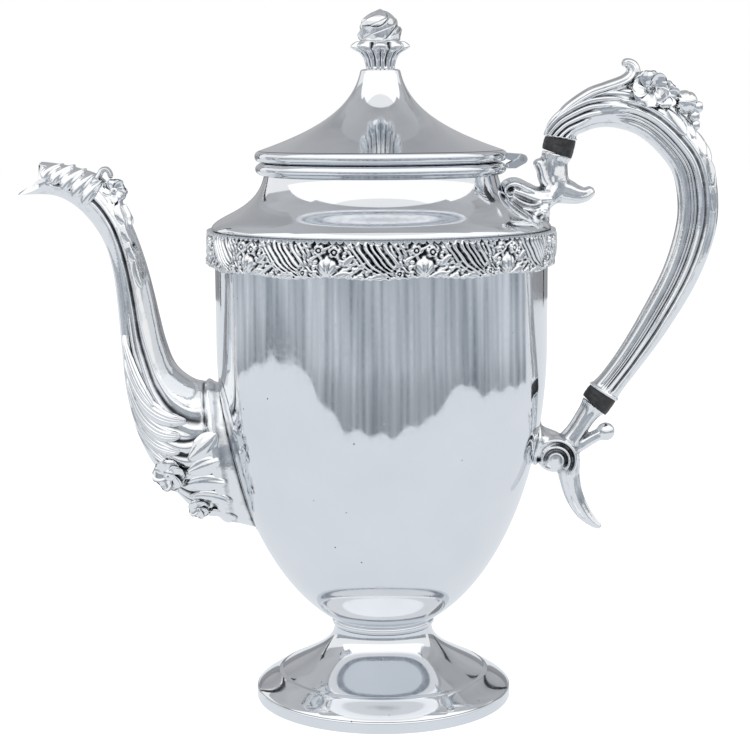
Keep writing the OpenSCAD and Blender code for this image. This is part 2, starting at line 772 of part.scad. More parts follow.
// Scrolled socket on the bowl, which holds the lower insulator
module lower_socket() {
  top = face_mid(lower_joint, -1, solder);
  root = face_mid(lower_joint, -1, -1);
  z = lower_z - 16.6;
  x = bowl_r_at(z);
  color(silver) difference() {
    union() {
      limb([
        [root[0], root[1], insulator_r, insulator_r],
        [top[0] - 3.4, top[1] - 4.6, 5, 5.3],
        [x + 15.6, z + 3, 4.6, 5],
        [x + 11, z - 1.6, 6, 5.6],
        [x + 5, z - 0.6, 7, 7],
        [x - 3, z, 9, 9]
      ]);
      // tail that sweeps down and out
      limb([
        [x + 11, z, 5, 5],
        [x + 12.8, z - 7, 5.2, 4.8],
        [x + 13, z - 13.4, 4.5, 4.2],
        [x + 15, z - 21.3, 3.9, 3.8],
        [x + 18.8, z - 28.2, 3.1, 3],
        [x + 23, z - 32.6, 2, 2],
        [x + 27, z - 34.4, 0.6, 0.7]
      ]);
      // stem and ball behind the limb
      limb([
        [x + 14, z - 2, 3.4, 3.6],
        [x + 19.5, z - 1.4, 2.6, 2.8],
        [x + 24, z - 0.4, 2, 2.2],
        [x + 27, z + 2.6, 1.6, 1.8]
      ]);
      translate([x + 27.4, 0, z + 3.6]) sphere(3.2);
    }
    bowl_solid();
    insulator_room(lower_joint);
    at_joint(lower_joint) translate([0, 0, -insulator_h / 2 - spigot - 0.2])
      cylinder(r = tang_r + solder, h = spigot + 2);
  }
}

// ---- hinge --------------------------------------------------------------------------------

half_knuckle = lid_knuckle_w / 2;
outer_knuckle = half_knuckle + knuckle_gap + body_knuckle_w;

// A knuckle along Y, from y0 to y1
module knuckle(y0, y1)
  translate([hinge_x, y1, hinge_z]) rotate([90, 0, 0]) cylinder(r = knuckle_r, h = y1 - y0);

// Bore for the pin, wider than it by clearance
module pin_bore(clearance)
  translate([hinge_x, 0, hinge_z]) rotate([90, 0, 0])
    cylinder(r = pin_r + clearance, h = 2 * outer_knuckle + 2, center = true);

module hinge_body_leaf() {
  plate_z = rim_top_z - 2.6;
  inner_x = mouth_r + mouth_bead_out + solder;
  color(silver) difference() {
    union() {
      translate([mouth_r, -outer_knuckle, plate_z])
        cube([hinge_x - knuckle_r - 0.5 - mouth_r, 2 * outer_knuckle, 1.6]);
      for (side = [-1, 1])
        translate([0, side * (half_knuckle + knuckle_gap + body_knuckle_w / 2), 0]) {
          translate([hinge_x, body_knuckle_w / 2, hinge_z]) rotate([90, 0, 0])
            cylinder(r = knuckle_r, h = body_knuckle_w);
          translate([0, body_knuckle_w / 2, 0]) rotate([90, 0, 0]) linear_extrude(body_knuckle_w)
            polygon([
              [mouth_r, plate_z],
              [hinge_x - knuckle_r - 0.5, plate_z],
              [hinge_x + knuckle_r * 0.7, hinge_z - knuckle_r * 0.7],
              [hinge_x, hinge_z],
              [hinge_x - knuckle_r * 0.7, hinge_z + knuckle_r * 0.2],
              [mouth_r, plate_z + 1.6]
            ]);
        }
    }
    cylinder(r = inner_x, h = 2 * rim_top_z);
    pin_bore(solder / 2);
  }
}

module hinge_pin()
  color(steel) translate([hinge_x, 0, hinge_z]) rotate([90, 0, 0])
    cylinder(r = pin_r, h = 2 * outer_knuckle, center = true);

module hinge_lid_leaf() {
  tab_z = lid_z + 0.1;
  color(silver) difference() {
    union() {
      knuckle(-half_knuckle, half_knuckle);
      translate([0, half_knuckle, 0]) rotate([90, 0, 0]) linear_extrude(lid_knuckle_w)
        polygon([
          [mouth_r, tab_z],
          [hinge_x, hinge_z - 0.6],
          [hinge_x, hinge_z + knuckle_r],
          [mouth_r, tab_z + 2.5]
        ]);
    }
    cylinder(r = lid_bead_r + solder, h = 2 * cone_z);
    pin_bore(running);
  }
}

// ---- lid ----------------------------------------------------------------------------------

cone_line = bezier_line([
  [lid_bead_r - 1.3, cone_z + solder],
  [mix(cone_top_r, lid_bead_r, 0.465), cone_z + cone_h * 0.235],
  [cone_top_r + 3.2, cone_z + cone_h * 0.5],
  [cone_top_r, cone_top_z]
], 20);

module lid_rim()
  color(silver) rotate_extrude() polygon(concat(
    [[bezel_r + solder, lid_z]],
    bead(lid_bead_r - 1.6, lid_bead_r, lid_z, cone_z),
    [[bezel_r + solder, cone_z]]
  ));

module lid_bezel()
  color(silver) rotate_extrude() translate([bezel_r - lid_wall, lid_z - bezel_depth])
    square([lid_wall, bezel_depth + lid_bead_h - 0.6]);

module lid_cone() {
  inside = reversed(over(inset(cone_line, lid_wall), cone_z + solder));
  color(silver) rotate_extrude() polygon(concat(
    cone_line,
    [
      [cone_top_r - 0.8, finial_z - 0.1],
      [cone_top_r - 2, finial_z],
      [stud_r + solder, finial_z],
      [stud_r + solder, finial_z - 1.8],
      [cone_top_r - 2.4, finial_z - 1.8]
    ],
    [for (i = [1:len(inside) - 1]) inside[i]]
  ));
}

// ---- finial -------------------------------------------------------------------------------

// A fluted solid of revolution about Z: stations [radius, height, flute depth, turn of the flutes]
module fluted(stations, flutes, n, steps = 2) {
  last = (len(stations) - 1) * steps;
  tube([for (i = [0:last])
    let (p = through(stations, i / steps))
    [for (j = [0:n - 1])
      let (a = -360 * j / n, r = p[0] - p[2] * (0.5 - 0.5 * cos(flutes * (a + p[3]))))
      [r * cos(a), r * sin(a), p[1]]]]);
}

module finial_calyx() {
  z = finial_z + solder;
  h = calyx_h;
  color(silver) difference() {
    fluted([
      [cone_top_r - 2.2, z, 0, 0],
      [cone_top_r - 2, z + h * 0.12, 0.3, 0],
      [cone_top_r - 1, z + h * 0.36, 0.6, 0],
      [calyx_r - 2.8, z + h * 0.56, 0.8, 0],
      [calyx_r, z + h * 0.8, 2.4, 0],
      [calyx_r - 1, z + h, 2.6, 0]
    ], 8, 48);
    translate([0, 0, z - 1]) cylinder(r = stud_r + solder, h = h - 1);
    translate([0, 0, z + h - 1.4]) cylinder(r = bud_r - 2.2, h = 4);
  }
}

module finial_rosebud() {
  z = finial_z + calyx_h + 2 * solder;
  h = bud_h;
  color(silver) union() {
    fluted([
      [bud_r - 1.2, z, 0.2, 0],
      [bud_r, z + h * 0.14, 1, 8],
      [bud_r - 0.8, z + h * 0.4, 1.4, 22],
      [bud_r - 0.6, z + h * 0.56, 1.4, 34],
      [bud_r * 0.72, z + h * 0.76, 1.2, 48],
      [bud_r * 0.36, z + h * 0.94, 0.4, 60],
      [1.1, z + h, 0, 66]
    ], 5, 40);
    translate([0, 0, z - 1.3]) cylinder(r = bud_r - 2.4, h = 2);
  }
}

module finial_stud()
  color(steel) translate([0, 0, finial_z - 8]) cylinder(r = stud_r, h = 8 + calyx_h - 2.4);

module finial_washer()
  color(steel) translate([0, 0, finial_z - 1.8 - solder - 0.8]) difference() {
    cylinder(r = stud_r * 2.3, h = 0.8);
    translate([0, 0, -1]) cylinder(r = stud_r + 0.1, h = 3);
  }

module finial_nut()
  color(steel) translate([0, 0, finial_z - 2.6 - 2 * solder - 2.4]) difference() {
    cylinder(r = stud_r * 2.1, h = 2.4, $fn = 6);
    translate([0, 0, -1]) cylinder(r = stud_r + 0.05, h = 5);
  }

foot_ring();
foot_shell();
stem_collar();
body_bowl();
shoulder();
floral_border();
mouth_rim();
spout_left();
spout_right();
spout_leaf_crest();
upper_socket();
lower_socket();
upper_insulator();
lower_insulator();
handle_left();
handle_right();
handle_tangs();
insulator_pins();
handle_flower_spray();
hinge_body_leaf();
hinge_pin();
lid_cone();
lid_rim();
lid_bezel();
finial_calyx();
finial_rosebud();
finial_stud();
finial_washer();
finial_nut();
hinge_lid_leaf();
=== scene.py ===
"""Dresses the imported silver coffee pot: spun silver, chased and cast ornament, insulators and stage.

Lengths are millimetres until Skin.build turns them into metres. +Z is up, the spout points to
-X and the handle to +X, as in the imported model.
"""

from __future__ import annotations

import logging
import math
from dataclasses import dataclass, field
from enum import Enum
from typing import Sequence

import bmesh
import bpy
import numpy as np
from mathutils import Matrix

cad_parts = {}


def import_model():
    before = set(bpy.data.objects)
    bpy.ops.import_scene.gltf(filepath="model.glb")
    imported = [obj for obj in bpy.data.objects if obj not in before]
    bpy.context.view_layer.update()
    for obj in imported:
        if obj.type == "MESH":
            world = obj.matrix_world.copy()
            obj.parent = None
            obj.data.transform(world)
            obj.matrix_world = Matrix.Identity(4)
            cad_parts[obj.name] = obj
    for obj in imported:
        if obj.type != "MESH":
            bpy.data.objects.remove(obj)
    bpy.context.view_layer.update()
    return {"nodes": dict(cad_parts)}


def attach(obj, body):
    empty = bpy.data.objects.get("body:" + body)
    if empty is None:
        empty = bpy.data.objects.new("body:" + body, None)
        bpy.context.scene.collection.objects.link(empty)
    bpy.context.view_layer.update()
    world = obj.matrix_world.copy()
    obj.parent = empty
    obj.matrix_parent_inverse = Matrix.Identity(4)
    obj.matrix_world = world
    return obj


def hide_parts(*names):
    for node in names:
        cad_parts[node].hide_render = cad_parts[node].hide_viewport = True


LOG = logging.getLogger("coffee_pot")
MM = 0.001
SOLDER = 0.06
SPUN_SEGMENTS = 256

Array = np.ndarray


class Body(Enum):
    """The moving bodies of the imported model."""

    POT = "pot"
    LID = "lid"


class Slot(Enum):
    """The record's material slots."""

    SILVER = "silver"
    CAST = "cast_silver"
    INSULATOR = "insulator"
    FITTINGS = "fittings"


# ---- curves --------------------------------------------------------------------------------


def mix(a: float | Array, b: float | Array, t: float | Array) -> float | Array:
    """The value that lies the share t of the way from a to b."""
    return a + (b - a) * t


def ease(x: Array) -> Array:
    """A smooth rise from 0 to 1 as x goes from 0 to 1: x squared times (3 - 2 x)."""
    x = np.clip(x, 0, 1)
    return x * x * (3 - 2 * x)


def bump(x: Array) -> Array:
    """A bell that is 1 at x = 0 and falls off as exp of minus x squared."""
    return np.exp(-np.square(x))


def crease(x: Array, soft: float = 0.16) -> Array:
    """Rounded flutes, 0 at whole x and 1 between: |sin(pi x)| with its sharp valley rounded off."""
    return (np.sqrt(np.sin(np.pi * x) ** 2 + soft**2) - soft) / (math.sqrt(1 + soft**2) - soft)


def bezier(control: Sequence[Sequence[float]], count: int) -> Array:
    """Points of a cubic Bezier curve, the Bernstein-weighted sum of its four control points.

    Args:
        control: the four control points.
        count: how many points, evenly spaced in the curve's parameter.

    Returns:
        One row for each point.
    """
    p = np.asarray(control, float)
    t = np.linspace(0, 1, count)[:, None]
    u = 1 - t
    return u**3 * p[0] + 3 * u * u * t * p[1] + 3 * u * t * t * p[2] + t**3 * p[3]


def through(stations: Array | Sequence[Sequence[float]], s: Array) -> Array:
    """Points of the Catmull-Rom curve through stations.

    Args:
        stations: the points that the curve passes, of any dimension.
        s: where to evaluate it, from 0 to one less than the number of stations.

    Returns:
        An array of the shape of s with the stations' dimension appended.
    """
    p = np.asarray(stations, float)
    padded = np.vstack([2 * p[0] - p[1], p, 2 * p[-1] - p[-2]])
    i = np.clip(np.floor(s).astype(int), 0, len(p) - 2)
    t = (s - i)[..., None]
    a, b, c, d = (padded[i + k] for k in range(4))
    return b + 0.5 * t * ((c - a) + t * ((2 * a - 5 * b + 4 * c - d) + t * (3 * b - a - 3 * c + d)))


def directions(line: Array) -> Array:
    """Unit chords between each point's two neighbours on a line."""
    chord = np.gradient(line, axis=0)
    return chord / np.linalg.norm(chord, axis=-1, keepdims=True)


def beside(line: Array, distance: float) -> Array:
    """A plane line moved to its left along its normals."""
    run = directions(line)
    return line + distance * np.column_stack([-run[:, 1], run[:, 0]])


def rounded(corners: Sequence[Sequence[float]], radius: float) -> Array:
    """A closed outline whose corners are replaced by quadratic curves.

    Each curve starts and ends at the radius from its corner, or at 45 % of a shorter side.

    Args:
        corners: the outline's corners in order.
        radius: how far from a corner its curve starts.

    Returns:
        The outline's points, six for each corner.
    """
    p = np.asarray(corners, float)
    before, after = np.roll(p, 1, 0) - p, np.roll(p, -1, 0) - p
    reach_b = np.minimum(radius / np.linalg.norm(before, axis=1), 0.45)[:, None]
    reach_a = np.minimum(radius / np.linalg.norm(after, axis=1), 0.45)[:, None]
    start, end = p + before * reach_b, p + after * reach_a
    t = np.linspace(0, 1, 6)[None, :, None]
    curve = (1 - t) ** 2 * start[:, None] + 2 * t * (1 - t) * p[:, None] + t * t * end[:, None]
    return curve.reshape(-1, 2)


def bead(r0: float, r1: float, z0: float, z1: float) -> Array:
    """Half-round bead in (radius, z): a half ellipse from z0 to z1 that stands out from r0 to r1."""
    a = np.linspace(-np.pi / 2, np.pi / 2, 25)
    return np.column_stack([r0 + (r1 - r0) * np.cos(a), (z0 + z1) / 2 + (z1 - z0) / 2 * np.sin(a)])


def circle(count: int) -> Array:
    """Angles in radians, evenly spaced round a whole turn."""
    return np.linspace(0, 2 * np.pi, count, endpoint=False)


def revolve(profile: Array) -> Array:
    """A profile in (radius, z) turned round Z: the point at angle a is (r cos a, r sin a, z).

    Args:
        profile: rows of (radius, z).

    Returns:
        A grid with a row for each point of the profile.
    """
    a = circle(SPUN_SEGMENTS)
    r, z = profile[:, :1], profile[:, 1:]
    return np.stack([r * np.cos(a), r * np.sin(a), np.broadcast_to(z, (len(profile), len(a)))], -1)


def pushed_out(points: Array, limit: Array) -> Array:
    """Points that lie nearer to the Z axis than a limit, moved along their radius out to it.

    Args:
        points: an array of points whose last axis is (x, y, z).
        limit: the least radius for each point.

    Returns:
        The points in an array of the same shape.
    """
    flat = np.linalg.norm(points[..., :2], axis=-1)
    scale = np.where(flat < limit, limit / np.maximum(flat, 1e-6), 1.0)
    return points * np.stack([scale, scale, np.ones_like(scale)], -1)


# ---- meshes --------------------------------------------------------------------------------


class Skin:
    """Closed grid surfaces, in millimetres, gathered into one mesh."""

    def __init__(self) -> None:
        """Starts an empty skin."""
        self.vertices: list[Array] = []
        self.quads: list[Array] = []
        self.fans: list[Array] = []
        self.count = 0

    def grid(self, points: Array, wrap_rows: bool = False) -> "Skin":
        """Adds the surface that joins each point of a grid to its four neighbours.

        The last column joins the first.

        Args:
            points: rows by columns by 3.
            wrap_rows: joins the last row to the first. Otherwise a fan about the middle of
                each end row closes it.

        Returns:
            The skin itself, so that calls can be chained.
        """
        rows, cols = points.shape[:2]
        index = np.arange(rows * cols).reshape(rows, cols) + self.count
        vertices = points.reshape(-1, 3)
        if wrap_rows:
            index = np.vstack([index, index[:1]])
        index = np.hstack([index, index[:, :1]])
        quads = np.stack([index[:-1, :-1], index[:-1, 1:], index[1:, 1:], index[1:, :-1]], -1)
        if not wrap_rows:
            hub = self.count + rows * cols
            vertices = np.vstack([vertices, points[0].mean(0), points[-1].mean(0)])
            first, last = index[0], index[-1]
            self.fans.append(np.column_stack([np.full(len(first) - 1, hub), first[1:], first[:-1]]))
            self.fans.append(np.column_stack([np.full(len(last) - 1, hub + 1), last[:-1], last[1:]]))
        self.vertices.append(vertices)
        self.quads.append(quads.reshape(-1, 4))
        self.count += len(vertices)
        return self

    def build(self, name: str, sharp_degrees: float = 40.0) -> bpy.types.Object:
        """Makes the object, smooth but for edges sharper than sharp_degrees, with faces outwards.

        Args:
            name: the object's name.
            sharp_degrees: edges that turn more than this are sharp.

        Returns:
            The object, linked to the scene.
        """
        quads = np.vstack(self.quads)
        fans = np.vstack(self.fans) if self.fans else np.empty((0, 3), int)
        mesh = bpy.data.meshes.new(name)
        mesh.vertices.add(self.count)
        mesh.vertices.foreach_set("co", (np.vstack(self.vertices) * MM).astype(np.float32).ravel())
        mesh.loops.add(quads.size + fans.size)
        mesh.loops.foreach_set("vertex_index", np.concatenate([quads.ravel(), fans.ravel()]).astype(np.int32))
        mesh.polygons.add(len(quads) + len(fans))
        starts = np.concatenate([np.arange(len(quads)) * 4, quads.size + np.arange(len(fans)) * 3])
        mesh.polygons.foreach_set("loop_start", starts.astype(np.int32))
        mesh.update(calc_edges=True)
        mesh.validate()
        work = bmesh.new()
        work.from_mesh(mesh)
        bmesh.ops.recalc_face_normals(work, faces=work.faces)
        work.to_mesh(mesh)
        work.free()
        mesh.polygons.foreach_set("use_smooth", np.ones(len(mesh.polygons), bool))
        mesh.set_sharp_from_angle(angle=math.radians(sharp_degrees))
        piece = bpy.data.objects.new(name, mesh)
        show(piece)
        return piece


def show(piece: bpy.types.Object) -> None:
    """Links an object to the scene."""
    bpy.context.scene.collection.objects.link(piece)


def evaluated_mesh(piece: bpy.types.Object) -> bpy.types.Mesh:
    """A new mesh of the object's shape with its modifiers applied."""
    graph = bpy.context.evaluated_depsgraph_get()
    return bpy.data.meshes.new_from_object(piece.evaluated_get(graph))


def mark_recesses(piece: bpy.types.Object, rounds: int, depth: float) -> None:
    """Stores how far each vertex lies under its surroundings, as the attribute recess.

    Averaging each vertex with its neighbours for some rounds gives a blurred surface. The blurred
    point's height over the real one along the normal, over the depth, is the recess: positive in
    a groove and negative on a ridge.

    Args:
        piece: the object whose mesh is marked.
        rounds: how often the surface is averaged.
        depth: depth in millimetres that counts as 1.
    """
    mesh = piece.data
    count = len(mesh.vertices)
    position = np.empty(count * 3, np.float32)
    normal = np.empty(count * 3, np.float32)
    edges = np.empty(len(mesh.edges) * 2, np.int32)
    mesh.vertices.foreach_get("co", position)
    mesh.vertices.foreach_get("normal", normal)
    mesh.edges.foreach_get("vertices", edges)
    position, normal = position.reshape(-1, 3).astype(float), normal.reshape(-1, 3)
    ends = np.concatenate([edges[::2], edges[1::2]])
    others = np.concatenate([edges[1::2], edges[::2]])
    degree = np.maximum(np.bincount(ends, minlength=count), 1)[:, None]
    blurred = position.copy()
    for _ in range(rounds):
        near = [np.bincount(ends, weights=blurred[others, k], minlength=count) for k in range(3)]
        blurred = np.column_stack(near) / degree
    value = ((blurred - position) * normal).sum(1) / (depth * MM)
    layer = mesh.attributes.new("recess", "FLOAT", "POINT")
    layer.data.foreach_set("value", np.clip(value, -1, 1).astype(np.float32))


# ---- small forms ---------------------------------------------------------------------------


@dataclass
class Limb:
    """A cast limb in the plane of the spout and handle: an oval carried along a curve.

    The oval's half sizes are t in the plane and w across it. Flutes lower its surface by
    depth (0.5 - 0.5 cos(flutes a)), and a rounded end shrinks as a quarter circle.
    """

    stations: Sequence[Sequence[float]]
    rows: int = 60
    cols: int = 48
    flutes: int = 0
    depth: float = 0.0
    twist: float = 0.0
    round_start: float = 0.0
    round_end: float = 0.0

    def points(self) -> Array:
        """The limb's grid, one row for each oval.

        Returns:
            A grid of rows by cols points.
        """
        s = np.linspace(0, len(self.stations) - 1, self.rows)
        line = through(self.stations, s)
        run = directions(line[:, :2])
        u = np.linspace(0, 1, self.rows)
        shrink = np.ones(self.rows)
        if self.round_start:
            shrink *= np.sqrt(np.clip(1 - (1 - np.minimum(u / self.round_start, 1)) ** 2, 0.002, 1))
        if self.round_end:
            shrink *= np.sqrt(np.clip(1 - (1 - np.minimum((1 - u) / self.round_end, 1)) ** 2, 0.002, 1))
        a = circle(self.cols)[None, :]
        cut = self.depth * (0.5 - 0.5 * np.cos(self.flutes * a + self.twist * u[:, None]))
        t = np.maximum(line[:, 2:3] - cut, 0.1) * shrink[:, None]
        w = np.maximum(line[:, 3:4] - cut, 0.1) * shrink[:, None]
        x = line[:, 0:1] - run[:, 1:2] * t * np.cos(a)
        z = line[:, 1:2] + run[:, 0:1] * t * np.cos(a)
        return np.stack([x, w * np.sin(a), z], -1)


@dataclass
class Sheet:
    """A cast leaf or petal: lens-shaped sections across a curve in space.

    A section spans from -1 to 1 in v. Its front face stands rib |cos(ribs v)| and
    crown (1 - v v) over the middle, and its back lies flat behind it.
    """

    line: Array
    across: Array
    out: Array
    width: Array
    thickness: float = 1.0
    crown: float = 0.8
    ribs: float = 0.0
    rib: float = 0.0
    cup: float = 0.0
    cols: int = 15

    def points(self) -> Array:
        """The sheet's grid: each row runs over the front face and back along the rear.

        Returns:
            A grid with a row for each point of the line.
        """
        v = np.linspace(-1, 1, self.cols)
        edge = np.sqrt(np.clip(1 - v * v, 0, 1))
        front = self.crown * (1 - v * v) + self.cup * v * v + self.thickness * 0.5 * edge
        if self.ribs:
            front = front + self.rib * (np.abs(np.cos(self.ribs * v * np.pi / 2)) - 1) * edge
        back = self.cup * v * v - self.thickness * 0.5 * edge
        lift = np.concatenate([front, back[::-1][1:-1]])
        place = np.concatenate([v, v[::-1][1:-1]])
        fade = np.minimum(1, self.width / max(float(np.max(self.width)) * 0.4, 1e-6))[:, None, None]
        return (
            self.line[:, None] + self.across[:, None] * (self.width[:, None] * place)[...,
            None] + self.out[:, None] * lift[None, :, None] * fade )


def basis(normal: Array) -> tuple[Array, Array, Array]:
    """A frame about a normal.

    Args:
        normal: a vector of any length.

    Returns:
        Two unit vectors across it, the first one level where it can be, and its own unit vector.
    """
    n = normal / np.linalg.norm(normal)
    level = np.cross([0, 0, 1.0], n)
    level = level / np.linalg.norm(level) if np.linalg.norm(level) > 1e-3 else np.array([1.0, 0, 0])
    return level, np.cross(n, level), n


@dataclass
class Blossom:
    """An open flower: notched round petals about a beaded eye."""

    centre: Array
    normal: Array
    radius: float
    petals: int = 5
    turn: float = 0.0
    cup: float = 0.35

    def add_to(self, skin: Skin) -> None:
        """Adds the petals and the eye to a skin.

        Args:
            skin: where they go.
        """
        level, up, n = basis(self.normal)
        for k in range(self.petals):
            a = 2 * np.pi * k / self.petals + self.turn
            self._petal(skin, level * np.cos(a) + up * np.sin(a), n)
        self._eye(skin, n, level, up)

    def _petal(self, skin: Skin, along: Array, n: Array) -> None:
        """One petal: its half width goes as a power of a sine, and its rim curls back.

        Args:
            skin: where the petal goes.
            along: unit vector from the eye to the petal's tip.
            n: the flower's unit normal.
        """
        size = self.radius
        u = np.linspace(0.04, 1, 25)
        rise = self.cup * size * (1 - (1 - u) ** 2) - 0.2 * size * u**6
        line = self.centre + along * (u * size)[:, None] + n * rise[:, None]
        half = size * math.tan(np.pi / self.petals) * 0.9 * np.sin(np.pi * (0.04 + 0.88 * u**1.25)) ** 0.6
        side = np.cross(n, along) + 0.24 * n
        out = np.broadcast_to(n, line.shape)
        across = np.broadcast_to(side, line.shape)
        sheet = Sheet(line, across, out, half, thickness=0.12 * size, crown=-0.1 * size, ribs=2,
                      rib=0.09 * size, cup=0.05 * size, cols=25)
        skin.grid(sheet.points())

    def _eye(self, skin: Skin, n: Array, level: Array, up: Array) -> None:
        """A low dome whose surface is beaded: its height varies as cosines round and outwards.

        Args:
            skin: where the eye goes.
            n: the flower's unit normal.
            level: a unit vector across it.
            up: the unit vector across both.
        """
        r = np.linspace(0.02, 1, 10)[:, None]
        a = circle(24)[None, :]
        size = self.radius * 0.19
        knob = 0.22 * np.cos(8 * a) * np.sin(np.pi * r)
        height = size * (0.9 * np.sqrt(np.clip(1 - r * r, 0, 1)) + knob) + self.radius * 0.12
        top = (
            self.centre + level * (r * np.cos(a) * size)[..., None] + up * (r * np.sin(a) * size)[...,
            None] + n * height[..., None] )
        skin.grid(np.concatenate([top, top[-1:] - n * self.radius * 0.5]))


def ball(centre: Sequence[float], radii: Sequence[float], rows: int = 20, cols: int = 32,
         gores: int = 0, depth: float = 0.0) -> Array:
    """An ellipsoid about Y, whose meridians may be grooved by depth (1 - |sin(gores a / 2)|) to the 4th.

    Args:
        centre: its middle.
        radii: its half sizes along X, Y and Z.
        rows: points from pole to pole.
        cols: points round a section.
        gores: how many grooves it has.
        depth: how deep they are, as a share of the radius.

    Returns:
        A grid of points.
    """
    t = np.linspace(0.03, np.pi - 0.03, rows)[:, None]
    a = circle(cols)[None, :]
    r = 1 - depth * (1 - np.abs(np.sin(gores * a / 2))) ** 4 if gores else np.ones_like(a)
    unit = np.stack([np.sin(t) * np.cos(a) * r, -np.cos(t) + 0 * a, np.sin(t) * np.sin(a) * r], -1)
    return np.asarray(centre, float) + unit * np.asarray(radii, float)


def settle(form: Array, path: Array, side: int) -> tuple[Array, Array]:
    """Lays a line that is drawn in side view on a swept form.

    Args:
        form: grid of the form's points for positive Y, one row for each station.
        path: points of the line in (x, z).
        side: 1 for positive Y, -1 for negative.

    Returns:
        The line's points on the form, and the outward normals there.
    """
    found = []
    rows, cols = form.shape[:2]
    for x, z in path:
        near = np.argmin((form[..., 0] - x) ** 2 + (form[..., 2] - z) ** 2)
        i, j = np.unravel_index(near, (rows, cols))
        i, j = int(np.clip(i, 1, rows - 2)), int(np.clip(j, 1, cols - 2))
        normal = np.cross(form[i, j + 1] - form[i, j - 1], form[i + 1, j] - form[i - 1, j])
        normal *= np.sign(normal[1])
        found.append((form[i, j], normal / np.linalg.norm(normal)))
    flip = np.array([1, side, 1])
    line, out = (np.array([pair[k] for pair in found]) * flip for k in (0, 1))
    line, out = (np.stack([
        np.convolve(np.pad(row, 3, "edge"), np.ones(7) / 7, "valid") for row in part.T],
        -1) for part in (line, out))
    return line, out / np.linalg.norm(out, axis=1, keepdims=True)


LeafRow = tuple[Sequence[float], Sequence[float], Sequence[float], Sequence[float], float]


@dataclass(frozen=True)
class LeafCut:
    """How the leaves of a group are modelled, in millimetres.

    They stand lift over the form and swell by crown, with ribs of the height rib. A leaf's half
    width goes as the sine of its length to the power blunt, fullest past the middle. The share
    face turns it from the form towards the side.
    """

    lift: float
    crown: float
    ribs: float
    rib: float
    blunt: float
    face: float = 0.0

    def lay(self, skin: Skin, form: Array, leaves: Sequence[LeafRow], side: int) -> None:
        """Lays leaves on a swept form, each along a Bezier curve that is drawn in side view.

        Args:
            skin: where the leaves go.
            form: grid of the form's points for positive Y.
            leaves: for each leaf the four control points in (x, z) and its half width.
            side: 1 for positive Y, -1 for negative.
        """
        for *control, width in leaves:
            line, out = settle(form, bezier(control, 26), side)
            out = mix(out, np.array([0.0, side, 0.0]), self.face)
            out /= np.linalg.norm(out, axis=1, keepdims=True)
            across = np.cross(out, np.gradient(line, axis=0))
            across /= np.linalg.norm(across, axis=1, keepdims=True)
            u = np.linspace(0, 1, len(line))
            half = width * np.sin(np.pi * (0.04 + 0.92 * u**1.25)) ** self.blunt
            sheet = Sheet(line + out * self.lift, across, out, half, crown=self.crown, ribs=self.ribs,
                          rib=self.rib, cols=21)
            skin.grid(sheet.points())


# ---- finishes ------------------------------------------------------------------------------


def linear_rgb(code: str) -> tuple[float, float, float, float]:
    """An sRGB hex colour such as #A1B2C3 as linear red, green, blue and alpha.

    Args:
        code: the colour, a # and six digits.

    Returns:
        The four linear values.
    """
    part = [int(code[i : i + 2], 16) / 255 for i in (1, 3, 5)]
    red, green, blue = (c / 12.92 if c <= 0.04045 else ((c + 0.055) / 1.055) ** 2.4 for c in part)
    return red, green, blue, 1.0


def add_node(tree: bpy.types.NodeTree, kind: str, inputs: dict | None = None,
             **settings: object) -> bpy.types.Node:
    """Adds a node to a tree.

    Args:
        tree: the node tree.
        kind: the node's type name without ShaderNode.
        inputs: for each input, by name or index, a value, the socket that feeds it, or the node
            whose first output does.
        settings: the node's own properties.

    Returns:
        The new node.
    """
    node = tree.nodes.new("ShaderNode" + kind)
    for name, value in settings.items():
        setattr(node, name, value)
    for key, value in (inputs or {}).items():
        if isinstance(value, bpy.types.Node):
            value = value.outputs[0]
        if isinstance(value, bpy.types.NodeSocket):
            tree.links.new(value, node.inputs[key])
        else:
            node.inputs[key].default_value = value
    return node


@dataclass(frozen=True)
class Finish:
    """What every finish has: a name and a cached material."""

    name: str

    def material(self) -> bpy.types.Material:
        """The finish's material, made on its first use.

        Returns:
            The material.
        """
        found = bpy.data.materials.get(self.name)
        if found:
            return found
        made = bpy.data.materials.new(self.name)
        made.use_nodes = True
        made.node_tree.nodes.clear()
        self.fill(made.node_tree)
        return made

    def fill(self, tree: bpy.types.NodeTree) -> None:
        """Adds the finish's nodes to an empty tree."""
        raise NotImplementedError


